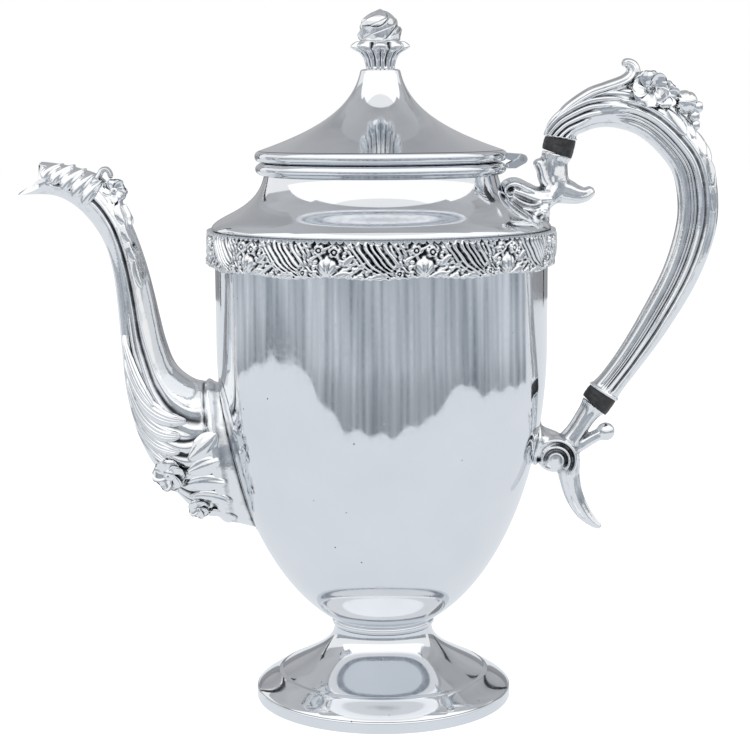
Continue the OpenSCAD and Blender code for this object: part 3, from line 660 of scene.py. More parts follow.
@dataclass(frozen=True)
class SpunSilver(Finish):
    """Sterling silver, spun over a chuck and buffed on a wheel.

    It is a near mirror. Fine wipe marks vary its roughness, slow waves left by the spinning tool
    bend its reflections a little, and a few tiny pits dull it.
    """

    colour: str = "#EAECEF"
    film: str = "#DDE0E4"
    roughness: float = 0.07
    wave_mm: float = 42.0
    pit_mm: float = 9.0
    wave_height: float = 0.12

    def fill(self, tree: bpy.types.NodeTree) -> None:
        """Metal whose colour, roughness and bump come from noise in object space.

        Args:
            tree: the empty node tree.
        """
        place = add_node(tree, "TexCoord").outputs["Object"]
        cloud = add_node(tree, "TexNoise", {"Vector": place, "Scale": 1 / (30 * MM), "Detail": 3.0})
        tint = add_node(tree, "Mix", {
            0: cloud.outputs["Fac"], 6: linear_rgb(self.colour), 7: linear_rgb(self.film)}, data_type="RGBA")
        wipes = add_node(tree, "TexNoise", {"Vector": place, "Scale": 1 / (2.2 * MM), "Detail": 4.0})
        rough = add_node(tree, "MapRange", {
            "Value": wipes.outputs["Fac"], "From Min": 0.35, "From Max": 0.75,
            "To Min": self.roughness * 0.6, "To Max": self.roughness * 1.7})
        cells = add_node(tree, "TexVoronoi", {"Vector": place, "Scale": 1 / (self.pit_mm * MM)})
        pits = add_node(tree, "MapRange", {
            "Value": cells.outputs["Distance"], "From Min": 0.02, "From Max": 0.05, "To Min": 1.0,
            "To Max": 0.0})
        dull = add_node(tree, "Math", {0: rough, 1: pits}, operation="ADD")
        spots = add_node(
            tree, "Mix", {0: pits, 6: tint.outputs[2], 7: linear_rgb("#8A8E94")}, data_type="RGBA")
        wave = add_node(tree, "TexNoise", {"Vector": place, "Scale": 1 / (self.wave_mm * MM), "Detail": 1.0})
        relief = add_node(tree, "Bump", {
            "Height": wave.outputs["Fac"], "Strength": 1.0, "Distance": self.wave_height * MM})
        metal = add_node(tree, "BsdfPrincipled", {
            "Base Color": spots.outputs[2], "Metallic": 1.0, "Roughness": dull, "Normal": relief})
        add_node(tree, "OutputMaterial", {"Surface": metal})


@dataclass(frozen=True)
class CastSilver(Finish):
    """Silver cast in a mould and chased by hand, its hollows darkened with liver of sulphur.

    The recess attribute and the ambient occlusion of nooks between leaves paint shade into the colour:
    they turn the metal dark and dull, and the buffed ridges stay bright. A fine grain of casting skin breaks
    up the reflections.
    """

    bright: str = "#EAECEE"
    mid: str = "#9FA2A7"
    # Colour of the painted shade in the deepest recesses and nooks.
    dark: str = "#1C1D1F"
    roughness: float = 0.13
    nook_mm: float = 2.5
    nook_dark: float = 0.6
    grain_mm: float = 1.1
    grain_height: float = 0.05

    def fill(self, tree: bpy.types.NodeTree) -> None:
        """Metal whose colour and roughness follow the recess attribute and the occlusion of nooks, which
        paint shade into the colour.

        Args:
            tree: the empty node tree.
        """
        place = add_node(tree, "TexCoord").outputs["Object"]
        recess = add_node(tree, "Attribute", attribute_name="recess")
        stain = add_node(tree, "TexNoise", {"Vector": place, "Scale": 1 / (3.5 * MM), "Detail": 4.0})
        shift = add_node(tree, "MapRange", {
            "Value": stain.outputs["Fac"], "From Min": 0.3, "From Max": 0.7, "To Min": -0.14,
            "To Max": 0.14})
        # Ambient occlusion darkens the nooks between leaves and pieces: painted shade.
        nook = add_node(
            tree, "AmbientOcclusion", {"Distance": self.nook_mm * MM}, samples=6, only_local=True)
        shade = add_node(tree, "MapRange", {
            "Value": nook.outputs["AO"], "From Min": 0.15, "From Max": 0.85, "To Min": self.nook_dark,
            "To Max": 0.0})
        tone = add_node(tree, "Math", {0: shift, 1: shade}, operation="ADD")
        depth = add_node(tree, "Math", {0: recess.outputs["Fac"], 1: tone}, operation="ADD")
        # The ramp paints shade: bright on ridges, mid to dark in recesses and nooks.
        ramp = add_node(tree, "ValToRGB", {"Fac": depth})
        ramp.color_ramp.elements[0].position = 0.02
        ramp.color_ramp.elements[0].color = linear_rgb(self.bright)
        ramp.color_ramp.elements[1].position = 0.85
        ramp.color_ramp.elements[1].color = linear_rgb(self.dark)
        between = ramp.color_ramp.elements.new(0.3)
        between.color = linear_rgb(self.mid)
        rough = add_node(tree, "MapRange", {
            "Value": depth, "From Min": 0.0, "From Max": 0.9, "To Min": self.roughness, "To Max": 0.45})
        grain = add_node(tree, "TexNoise", {
            "Vector": place, "Scale": 1 / (self.grain_mm * MM), "Detail": 3.0})
        relief = add_node(tree, "Bump", {
            "Height": grain.outputs["Fac"], "Strength": 1.0, "Distance": self.grain_height * MM})
        metal = add_node(tree, "BsdfPrincipled", {
            "Base Color": ramp.outputs["Color"], "Metallic": 1.0, "Roughness": rough, "Normal": relief})
        add_node(tree, "OutputMaterial", {"Surface": metal})


@dataclass(frozen=True)
class HardRubber(Finish):
    """Ebonite, turned and worn: black, half matt, with rings of the lathe and a little dust."""

    colour: str = "#1A1A1C"
    worn: str = "#333337"
    roughness: float = 0.42
    ring_mm: float = 0.7

    def fill(self, tree: bpy.types.NodeTree) -> None:
        """A dielectric with noise in its colour and fine rings in its bump.

        Args:
            tree: the empty node tree.
        """
        place = add_node(tree, "TexCoord").outputs["Object"]
        wear = add_node(tree, "TexNoise", {"Vector": place, "Scale": 1 / (2.5 * MM), "Detail": 5.0})
        level = add_node(tree, "MapRange", {
            "Value": wear.outputs["Fac"], "From Min": 0.45, "From Max": 0.75})
        tint = add_node(
            tree, "Mix", {0: level, 6: linear_rgb(self.colour), 7: linear_rgb(self.worn)}, data_type="RGBA")
        rings = add_node(tree, "TexNoise", {"Vector": place, "Scale": 1 / (self.ring_mm * MM)})
        relief = add_node(tree, "Bump", {
            "Height": rings.outputs["Fac"], "Strength": 0.6, "Distance": 0.08 * MM})
        body = add_node(tree, "BsdfPrincipled", {
            "Base Color": tint.outputs[2], "Roughness": self.roughness, "Normal": relief})
        add_node(tree, "OutputMaterial", {"Surface": body})


@dataclass(frozen=True)
class TurnedNickel(Finish):
    """Nickel silver, turned on a lathe: a slightly yellow grey with fine tool marks."""

    colour: str = "#B9B7B0"
    roughness: float = 0.24
    mark_mm: float = 0.4

    def fill(self, tree: bpy.types.NodeTree) -> None:
        """Metal with tool marks as fine noise in its bump and roughness.

        Args:
            tree: the empty node tree.
        """
        place = add_node(tree, "TexCoord").outputs["Object"]
        marks = add_node(tree, "TexNoise", {"Vector": place, "Scale": 1 / (self.mark_mm * MM)})
        rough = add_node(tree, "MapRange", {
            "Value": marks.outputs["Fac"], "To Min": self.roughness * 0.7, "To Max": self.roughness * 1.4})
        relief = add_node(tree, "Bump", {"Height": marks.outputs["Fac"], "Distance": 0.03 * MM})
        metal = add_node(tree, "BsdfPrincipled", {
            "Base Color": linear_rgb(self.colour), "Metallic": 1.0, "Roughness": rough, "Normal": relief})
        add_node(tree, "OutputMaterial", {"Surface": metal})


SPUN = SpunSilver("spun_buffed_silver")
CAST = CastSilver("cast_silver_painted_shade")
# Both cast finishes paint shade into recesses and nooks; this one paints it lighter.
CAST_BRIGHT = CastSilver("cast_burnished_silver", mid="#B4B7BB", dark="#3A3B3E", roughness=0.08,
                         grain_height=0.03)
EBONITE = HardRubber("turned_ebonite")
NICKEL = TurnedNickel("turned_nickel_silver")


# ---- pieces --------------------------------------------------------------------------------


@dataclass
class SubAssembly:
    """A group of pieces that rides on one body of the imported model."""

    body: Body = field(default=Body.POT, init=False)

    def place(self, skin: Skin, name: str, finish: Finish, slot: Slot, nodes: Sequence[str],
              sharp_degrees: float = 40.0) -> bpy.types.Object:
        """Builds a skin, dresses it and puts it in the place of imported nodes.

        Args:
            skin: the surfaces of the piece.
            name: the piece's name.
            finish: what it is made of.
            slot: the record's material slot.
            nodes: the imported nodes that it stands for.
            sharp_degrees: edges that turn more than this are shaded sharp.

        Returns:
            The piece.
        """
        piece = skin.build(name, sharp_degrees)
        self.dress(piece, finish, slot, nodes)
        return piece

    def dress(self, piece: bpy.types.Object, finish: Finish, slot: Slot, nodes: Sequence[str]) -> None:
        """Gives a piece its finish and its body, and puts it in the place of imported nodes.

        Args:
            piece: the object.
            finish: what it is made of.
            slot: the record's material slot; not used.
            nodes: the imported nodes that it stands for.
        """
        piece.data.materials.append(finish.material())
        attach(piece, self.body.value)
        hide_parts(*nodes)
        LOG.info("%s: %d faces, %s", piece.name, len(piece.data.polygons), finish.name)

    def spin(self, profile: Array, name: str, node: str) -> None:
        """Makes a closed profile in (radius, z) a piece of spun silver.

        Args:
            profile: the section's outline.
            name: the piece's name.
            node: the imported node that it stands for.
        """
        self.place(Skin().grid(revolve(profile), wrap_rows=True), name, SPUN, Slot.SILVER, [node])

    def cast(self, skin: Skin, name: str, node: str, rounds: int, depth: float,
             finish: CastSilver = CAST_BRIGHT) -> None:
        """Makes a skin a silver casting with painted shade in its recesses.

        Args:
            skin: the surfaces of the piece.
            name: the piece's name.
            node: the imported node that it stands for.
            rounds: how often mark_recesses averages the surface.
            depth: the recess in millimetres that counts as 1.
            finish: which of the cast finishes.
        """
        mark_recesses(self.place(skin, name, finish, Slot.CAST, [node], 60), rounds, depth)


@dataclass
class Bowl(SubAssembly):
    """The spun bowl: half an ellipsoid of revolution under a straight side."""

    radius: float = 63.7
    depth: float = 114.0
    wide_z: float = 140.0
    top_z: float = 184.4
    wall: float = 1.2
    strainer_r: float = 1.3
    strainer_pitch: float = 5.4
    strainer_w: float = 12.0
    strainer_h: float = 20.0
    drill_reach: float = 6.0

    def radius_at(self, z: Array | float) -> Array:
        """Outer radius at a height: radius times the root of 1 less the squared share of depth."""
        share = np.clip((self.wide_z - np.asarray(z, float)) / self.depth, 0, 1)
        return self.radius * np.sqrt(1 - share**2)

    def outline(self, grow: float) -> Array:
        """The side from the bottom to the edge, moved outwards by grow.

        Args:
            grow: how far out, in millimetres.

        Returns:
            Rows of (radius, z).
        """
        a = np.radians(np.linspace(89.2, 0, 110))
        curve = np.column_stack([
            (self.radius + grow) * np.cos(a), self.wide_z - (self.depth + grow) * np.sin(a)])
        z = np.linspace(self.wide_z, self.top_z, 14)[1:]
        return np.vstack([curve, np.column_stack([np.full(len(z), self.radius + grow), z])])

    def push_out(self, points: Array) -> Array:
        """Moves points inside the bowl along their radius to its outer face and a film of solder."""
        return pushed_out(points, self.radius_at(points[..., 2]) + SOLDER)

    def build(self, spout_mid_z: float) -> None:
        """Makes the bowl and bores the strainer holes that open into the spout.

        The holes lie in staggered rows inside an ellipse about spout_mid_z.

        Args:
            spout_mid_z: height of the middle of the spout's root.
        """
        profile = np.vstack([self.outline(0), self.outline(-self.wall)[::-1]])
        piece = self.place(Skin().grid(revolve(profile)), "bowl_sheet", SPUN, Slot.SILVER, ["body_bowl"])
        drill = Skin()
        a = circle(20)
        for row in range(-3, 4):
            for col in range(-2, 3):
                y = (col + abs(row) % 2 / 2) * self.strainer_pitch
                z = row * self.strainer_pitch * 0.866
                if math.hypot(y / self.strainer_w, z / self.strainer_h) < 1:
                    x = -float(self.radius_at(spout_mid_z + z))
                    ring = np.column_stack([0 * a, y + self.strainer_r * np.cos(a),
                                            spout_mid_z + z + self.strainer_r * np.sin(a)])
                    drill.grid(np.stack([ring + [x + end * self.drill_reach, 0, 0] for end in (-1, 1)]))
        cutter = drill.build("strainer_drill")
        cut = piece.modifiers.new("strainer_holes", "BOOLEAN")
        cut.operation = "DIFFERENCE"
        cut.solver = "FAST"
        cut.object = cutter
        bored = evaluated_mesh(piece)
        piece.modifiers.clear()
        piece.data = bored
        bpy.data.objects.remove(cutter)


@dataclass
class Foot(SubAssembly):
    """The ring, the domed shell and the collar that carry the bowl."""

    radius: float = 50.0
    ring_h: float = 4.6
    ring_t: float = 2.6
    fold_r: float = 39.5
    fold_z: float = 11.0
    neck_r: float = 19.1
    neck_z: float = 28.5
    wall: float = 1.2

    def outline(self) -> Array:
        """The shell's outer face from the ring up to the neck: a low step, a fold and a dome.

        Returns:
            Rows of (radius, z).
        """
        low = bezier([[self.radius - 0.5, self.ring_h + SOLDER], [
            self.radius - 1.9, mix(self.ring_h, self.fold_z, 0.27)],
            [mix(self.radius, self.fold_r, 0.67), mix(self.ring_h, self.fold_z, 0.66)],
            [self.fold_r + 1.6, self.fold_z - 0.6]], 40)
        fold = bezier([[self.fold_r + 1.6, self.fold_z - 0.6], [self.fold_r + 0.9, self.fold_z - 0.35],
                       [self.fold_r + 0.35, self.fold_z - 0.3], [self.fold_r, self.fold_z]], 7)
        dome = bezier([[self.fold_r, self.fold_z], [
            mix(self.neck_r, self.fold_r, 0.63), mix(self.fold_z, self.neck_z, 0.26)],
            [self.neck_r, mix(self.fold_z, self.neck_z, 0.51)], [self.neck_r, self.neck_z]], 70)
        return np.vstack([low, fold[1:-1], dome])

    def build(self, bowl: Bowl) -> None:
        """Makes the three pieces.

        Args:
            bowl: the bowl on the foot.
        """
        ring = rounded([[self.radius - self.ring_t, 0], [self.radius, 0], [self.radius, self.ring_h],
                        [self.radius - self.ring_t, self.ring_h]], 0.8)
        self.spin(ring, "foot_wire", "foot_ring")
        outer = self.outline()
        inner = beside(outer, self.wall)
        inner = inner[inner[:, 1] > outer[0, 1]]
        shell = np.vstack([outer, inner[::-1], [[inner[0, 0], outer[0, 1]]]])
        self.spin(shell, "foot_dome", "foot_shell")
        low, high = self.neck_z + SOLDER, self.neck_z + 3
        top_r = float(bowl.radius_at(high))
        a = np.linspace(-np.pi / 2, np.pi / 2, 21)
        z = (low + high) / 2 + (high - low) / 2 * np.sin(a)
        round_out = np.column_stack([
            mix(self.neck_r, top_r, (z - low) / (high - low)) - 0.4 + 1.2 * np.cos(a), z])
        inner_z = np.linspace(high, low, 8)
        inner_r = np.minimum(bowl.radius_at(inner_z) + 0.3, top_r)
        inner = np.column_stack([np.maximum(inner_r, self.neck_r - 3.2), inner_z])
        self.spin(np.vstack([round_out, inner]), "neck_collar", "stem_collar")


@dataclass
class Border(SubAssembly):
    """The chased band of scrolls and flowers under the shoulder."""

    inner_r: float = 63.76
    ground: float = 1.6
    relief: float = 1.95
    height: float = 14.6
    top_z: float = 184.34
    motifs: int = 12
    cols_per_motif: int = 104
    rows: int = 58
    first_turn: float = 0.31
    flowers: tuple[tuple[float, ...], ...] = ((22.6, 11.0, 2.6, 0.3), (28.3, 10.5, 2.8, 1.0),
                                              (16.6, 3.0, 2.0, 0.6))
    leaves: tuple[tuple[float, ...], ...] = ((26.5, 1.4, 0.24, 8.0), (6.2, 1.5, 0.1, 7.0),
                                             (30.6, 5.6, 0.75, 5.0))
    beads: tuple[tuple[float, float], ...] = (
        (21.3, 7.0), (20.6, 5.2), (20.9, 3.3), (30.3, 7.3), (31.6, 8.9), (32.4, 11.6), (33.4, 12.9))
    shell_at: tuple[float, float] = (25.6, 5.2)

    def height_field(self, x: Array, y: Array) -> Array:
        """Relief from 0 to 1 at x along a motif and y up the band, both in millimetres.

        An S-curved acanthus scroll of rounded flutes fills the left of the motif, where each
        flute is the root of |cos|. Two small flowers stand to its right over a shell and beads,
        and a leaf runs under them.

        Args:
            x: distance along the motif from its left end.
            y: height over the band's lower edge.

        Returns:
            The relief's share for each point.
        """
        up = y / self.height
        lean = 13.5 * (1 - up) ** 2 + 0.3 * np.sin(0.9 * y)
        flow = (x - lean) / 2.35 + 0.13 * np.sin(0.55 * y + 0.8 * x)
        inside = ease((x - lean + 3.4) / 1.6) * ease((14.5 - (x - lean)) / 2.5)
        swell = 0.55 + 0.45 * np.sin(np.pi * np.clip((x - lean + 2) / 16, 0, 1))
        field_ = inside * (0.12 + 0.88 * crease(flow + 0.5)) * swell * (0.7 + 0.3 * np.sin(np.pi * up))
        veins = crease((x * 0.8 + 2.1 * np.sin(0.42 * y + 0.21 * x)) / 2.0)
        ground = veins * crease((y + 1.4 * np.sin(0.5 * x)) / 3.7)
        field_ = np.maximum(field_, 0.52 * ground * (1 - 0.85 * inside))
        tuft = crease((x + 0.6 * y - 6) / 2.1 + 0.5)
        crest = ease((up - 0.5) / 0.2) * ease((x - 12.5) / 2) * ease((21 - x) / 2)
        field_ = np.maximum(field_, 0.75 * tuft * crest)
        for fx, fy, fr, turn in self.flowers:
            disc = 1 - 0.75 * bump(np.hypot(x - fx, y - fy) / (fr * 1.15)) ** 0.5
            field_ = np.maximum(field_ * disc, self.flower_field(x - fx, y - fy, fr, turn))
        field_ = np.maximum(field_, self.shell_field(x - self.shell_at[0], y - self.shell_at[1]))
        for lx, ly, slope, length in self.leaves:
            leaf_v = (y - ly - slope * (x - lx)) / 1.7
            leaf_u = np.clip((x - lx) / length, 0, 1)
            blade = np.clip(1 - (leaf_v / np.maximum(np.sin(np.pi * leaf_u), 1e-3)) ** 2, 0, 1)
            field_ = np.maximum(field_, 0.85 * np.sqrt(blade) * (0.66 + 0.34 * np.abs(leaf_v)))
        for bx, by in self.beads:
            field_ = np.maximum(field_, 0.66 * np.sqrt(np.clip(
                1 - ((x - bx) ** 2 + (y - by) ** 2) / 0.9, 0, 1)))
        return field_

    def flower_field(self, dx: Array, dy: Array, radius: float, turn: float) -> Array:
        """Five round petals about an eye: the rim varies as |cos| of 2.5 times the angle.

        Args:
            dx: distance right of its middle.
            dy: distance over it.
            radius: the flower's radius.
            turn: its turn in radians.

        Returns:
            The relief from 0 to 1.
        """
        r, a = np.hypot(dx, dy) / radius, np.arctan2(dy, dx) + turn
        rim = 0.68 + 0.32 * np.abs(np.cos(2.5 * a))
        petal = np.clip(1 - (r / rim) ** 6, 0, 1) * (0.62 + 0.38 * np.sin(np.pi * np.clip(r, 0, 1)))
        vein = 1 - 0.3 * bump(np.sin(2.5 * a) / 0.12) * ease((r - 0.2) / 0.2)
        eye = np.sqrt(np.clip(1 - (r / 0.26) ** 2, 0, 1))
        moat = 1 - 0.6 * bump((r - 0.32) / 0.09)
        return np.maximum(petal * vein * moat, eye * 0.95)

    def shell_field(self, dx: Array, dy: Array) -> Array:
        """A ribbed shell: a dome grooved by the cosine of its angle about its foot.

        Args:
            dx: distance right of its middle.
            dy: distance over it.

        Returns:
            The relief from 0 to 1.
        """
        r = np.hypot(dx, dy * 1.05) / 3.7
        fan = np.arctan2(dx, dy + 3.4)
        ribs = 0.74 + 0.26 * np.abs(np.cos(fan * 6.5))
        return np.sqrt(np.clip(1 - r**2, 0, 1)) * ribs

    def build(self) -> None:
        """Makes the band: its outer radius is the ground's plus the relief."""
        cols = self.motifs * self.cols_per_motif
        turn = np.arange(cols) / self.cols_per_motif
        pitch = 2 * np.pi * (self.inner_r + self.ground) / self.motifs
        x = (turn % 1) * pitch
        share = np.linspace(0, 1, self.rows)[:, None]
        swag = 0.9 * (0.5 - 0.5 * np.cos(2 * np.pi * (x - 9) / pitch))
        wave = swag + 0.45 * np.abs(np.sin(np.pi * x / 3.3))
        low = self.top_z - self.height + 0.1
        z = low + wave[None, :] * (1 - share) ** 2 + (self.top_z - low) * share
        z = np.minimum(z, self.top_z)
        y = z - (self.top_z - self.height)
        xs = np.broadcast_to(x, z.shape)
        field_ = np.maximum.reduce([self.height_field(xs + k * pitch, y) for k in (-1, 0, 1)])
        scallop = np.abs(np.sin(13 * np.pi * xs / pitch))
        top_lip = ease((y - self.height + 0.9 + 0.7 * scallop) / 0.4)
        field_ = np.maximum(field_ * (1 - top_lip), (0.3 + 0.35 * scallop) * top_lip)
        edge = np.sqrt(np.clip(1 - (1 - np.clip(share / 0.05, 0, 1)) ** 2, 0, 1))
        r = self.inner_r + self.ground * (0.35 + 0.65 * edge) + self.relief * field_ * edge
        angle = 2 * np.pi * (turn / self.motifs)[None, :] - np.pi / 2
        angle = angle - 2 * np.pi * self.first_turn / self.motifs
        outer = np.stack([r * np.cos(angle), r * np.sin(angle), z], -1)
        back_x, back_y = self.inner_r * np.cos(angle[0]), self.inner_r * np.sin(angle[0])
        foot, head = (np.stack([back_x, back_y, z[k]], -1)[None] for k in (0, -1))
        points = np.concatenate([foot, outer, head])
        piece = self.place(
            Skin().grid(points, wrap_rows=True), "floral_band", CAST, Slot.CAST, ["floral_border"], 70)
        mark_recesses(piece, 16, 0.42)


@dataclass
class Shoulder(SubAssembly):
    """The ogee shoulder with its ledge, and the bead round the mouth."""

    bowl: Bowl = field(default_factory=Bowl)
    ledge: float = 1.1
    height: float = 20.2
    mouth_r: float = 44.6
    bead_h: float = 5.0
    bead_out: float = 3.2

    @property
    def mouth_z(self) -> float:
        """Height of the mouth."""
        return self.bowl.top_z + self.height

    @property
    def rim_top_z(self) -> float:
        """Height of the bead's top."""
        return self.mouth_z + self.bead_h

    def curve(self) -> list[list[float]]:
        """Control points of the ogee from the ledge to the mouth.

        Returns:
            Four points in (radius, z).
        """
        edge = self.bowl.radius + self.ledge
        top = self.bowl.top_z
        return [[edge, top + 0.7], [edge - 1.8, top + self.height * 0.28],
                [self.mouth_r + 2.8, top + self.height * 0.335], [self.mouth_r, self.mouth_z]]

    def push_out(self, points: Array) -> Array:
        """Moves points inside the shoulder along their radius to its outer face.

        Args:
            points: points in millimetres.

        Returns:
            The moved points.
        """
        line = bezier(self.curve(), 80)
        z = points[..., 2]
        limit = np.interp(z, line[:, 1], line[:, 0]) + SOLDER
        return pushed_out(points, np.where(z > self.mouth_z, self.mouth_r + self.bead_out + SOLDER, limit))

    def build(self) -> None:
        """Makes the shoulder and the bead."""
        line = bezier(self.curve(), 90)
        top = self.bowl.top_z
        skirt = self.bowl.radius - self.bowl.wall - SOLDER
        edge = self.bowl.radius + self.ledge
        lip = bezier([[edge - 1.2, top + SOLDER], [edge, top + SOLDER], [edge + 0.1, top + 0.3], line[0]], 8)
        profile = np.vstack([
            [[skirt, top - 4], [skirt, top + SOLDER]], lip[:-1], line, beside(line, self.bowl.wall)[::-1],
            [[skirt - self.bowl.wall, top], [skirt - self.bowl.wall, top - 4]]])
        self.spin(profile, "shoulder_ogee", "shoulder")
        inner = self.mouth_r - 0.8
        rim = np.vstack([[[inner, self.mouth_z + SOLDER]], bead(
            self.mouth_r, self.mouth_r + self.bead_out, self.mouth_z + SOLDER, self.rim_top_z),
            [[inner, self.rim_top_z]]])
        self.spin(rim, "mouth_bead", "mouth_rim")


@dataclass
class Lid(SubAssembly):
    """The concave cone with its bead and its bezel."""

    shoulder: Shoulder = field(default_factory=Shoulder)
    bead_h: float = 4.0
    cone_h: float = 29.8
    top_r: float = 7.6
    wall: float = 1.0
    bezel_depth: float = 4.6
    bezel_gap: float = 0.8
    gap: float = 0.3
    stud_r: float = 1.5

    def __post_init__(self) -> None:
        """The lid rides on its own body."""
        self.body = Body.LID

    @property
    def low_z(self) -> float:
        """Height of the lid's underside."""
        return self.shoulder.rim_top_z + self.gap

    @property
    def finial_z(self) -> float:
        """Height of the flat that the finial stands on."""
        return self.low_z + self.bead_h + self.cone_h + 0.8

    def build(self) -> None:
        """Makes the bead, the bezel and the cone."""
        bead_r = self.shoulder.mouth_r + self.shoulder.bead_out + 0.2
        bezel_r = self.shoulder.mouth_r - 0.8 - self.bezel_gap
        cone_z = self.low_z + self.bead_h
        rim = np.vstack([[[bezel_r + SOLDER, self.low_z]], bead(bead_r - 1.6, bead_r, self.low_z, cone_z),
                         [[bezel_r + SOLDER, cone_z]]])
        self.spin(rim, "lid_bead", "lid_rim")
        low, high = self.low_z - self.bezel_depth, self.low_z + self.bead_h - 0.6
        ring = rounded([
            [bezel_r - self.wall, low], [bezel_r, low], [bezel_r, high], [bezel_r - self.wall, high]], 0.3)
        self.spin(ring, "bezel_ring", "lid_bezel")
        line = bezier([
            [bead_r - 1.3, cone_z + SOLDER], [mix(self.top_r, bead_r, 0.465), cone_z + self.cone_h * 0.235],
            [self.top_r + 3.2, cone_z + self.cone_h * 0.5], [self.top_r, cone_z + self.cone_h]], 110)
        crown = bezier([line[-1], [self.top_r - 0.35, self.finial_z - 0.15],
                        [self.top_r - 1.2, self.finial_z], [self.top_r - 2.6, self.finial_z]], 12)
        hole = self.stud_r + SOLDER
        top = [[hole, self.finial_z], [hole, self.finial_z - 1.8], [self.top_r - 2.4, self.finial_z - 1.8]]
        inner = beside(line, self.wall)
        inner = inner[inner[:, 1] > line[0, 1]]
        profile = np.vstack([line, crown[1:], top, inner[::-1][1:], [[inner[0, 0], line[0, 1]]]])
        self.spin(profile, "lid_cone_sheet", "lid_cone")


@dataclass
class Finial(SubAssembly):
    """The leafy cup and the rosebud that screw on to the lid."""

    lid: Lid = field(default_factory=Lid)
    cup_h: float = 10.2
    cup_r: float = 11.4
    bud_h: float = 12.0
    bud_r: float = 8.6

    def __post_init__(self) -> None:
        """The finial rides with the lid."""
        self.body = Body.LID

    def cup(self) -> Array:
        """The cup: a flaring radius, cut into eight ribbed leaves whose tips stand out and droop.

        Returns:
            A grid of points.
        """
        z0 = self.lid.finial_z + SOLDER
        top = self.lid.top_r
        h = self.cup_h
        stations = [
            [top - 2.2, z0, 0.0, 0.0], [top - 1.9, z0 + 0.12 * h, 0.3, 0.5],
            [top - 1.2, z0 + 0.34 * h, 0.5, 0.8], [self.cup_r - 3.6, z0 + 0.56 * h, 0.5, 0.7],
            [self.cup_r - 1.2, z0 + 0.7 * h, 1.2, 0.5], [self.cup_r, z0 + 0.8 * h, 2.4, 0.3],
            [self.cup_r - 0.9, z0 + 0.92 * h, 2.3, 0.2], [self.cup_r - 3.0, z0 + h, 0.8, 0.1],
            [2.0, z0 + h - 0.2, 0.0, 0.0]]
        line = through(stations, np.linspace(0, len(stations) - 1, 84))
        a = circle(256)[None, :]
        notch = (0.5 - 0.5 * np.cos(8 * a)) ** 1.6
        rib = np.abs(np.sin(8 * a)) ** 0.7
        r = line[:, :1] - line[:, 2:3] * notch - line[:, 3:4] * (1 - rib)
        return np.stack([r * np.cos(a), r * np.sin(a), line[:, 1:2] - 0.12 * line[:, 2:3] * notch], -1)

    def bud(self) -> Array:
        """The bud: petals that wrap it in a spiral.

        The phase grows with the angle and falls with the height, so each step of its saw-tooth
        is the edge of a petal that lies over the next one. The closing tip turns faster.

        Returns:
            A grid of points.
        """
        z0 = self.lid.finial_z + self.cup_h + 2 * SOLDER - 0.6
        h = self.bud_h + 0.55
        stations = [[self.bud_r - 2.4, 0.0], [self.bud_r - 0.7, 0.06], [self.bud_r - 0.2, 0.2],
                    [self.bud_r - 0.5, 0.38], [self.bud_r - 1.1, 0.55], [self.bud_r - 2.3, 0.72],
                    [self.bud_r * 0.46, 0.87], [self.bud_r * 0.2, 0.96], [0.4, 1.0]]
        line = through(stations, np.linspace(0, len(stations) - 1, 120))
        a = circle(288)[None, :]
        share = line[:, 1:2]
        turn = 3 * a / (2 * np.pi) - 2.1 * share - 0.25 * np.sin(3 * a)
        phase = turn - np.floor(turn)
        step = np.where(phase < 0.1, ease(phase / 0.1), 1 - 0.92 * ((phase - 0.1) / 0.9) ** 0.8)
        inner = 5 * a / (2 * np.pi) - 3.4 * share + 0.4
        fold = inner - np.floor(inner)
        fine = np.where(fold < 0.12, ease(fold / 0.12), 1 - (fold - 0.12) / 0.88)
        swell = np.sin(np.pi * np.clip(share * 1.02, 0, 1)) ** 0.5
        r = np.maximum(line[:, :1] - 0.5 + (1.25 * (step - 0.5) + 0.5 * (fine - 0.5)) * swell, 0.25)
        return np.stack([r * np.cos(a), r * np.sin(a), z0 + h * share + 0 * a], -1)

    def build(self) -> None:
        """Makes the cup and the bud."""
        self.cast(Skin().grid(self.cup()), "finial_leaf_cup", "finial_calyx", 10, 0.22, CAST)
        self.cast(Skin().grid(self.bud()), "finial_bud", "finial_rosebud", 8, 0.25)


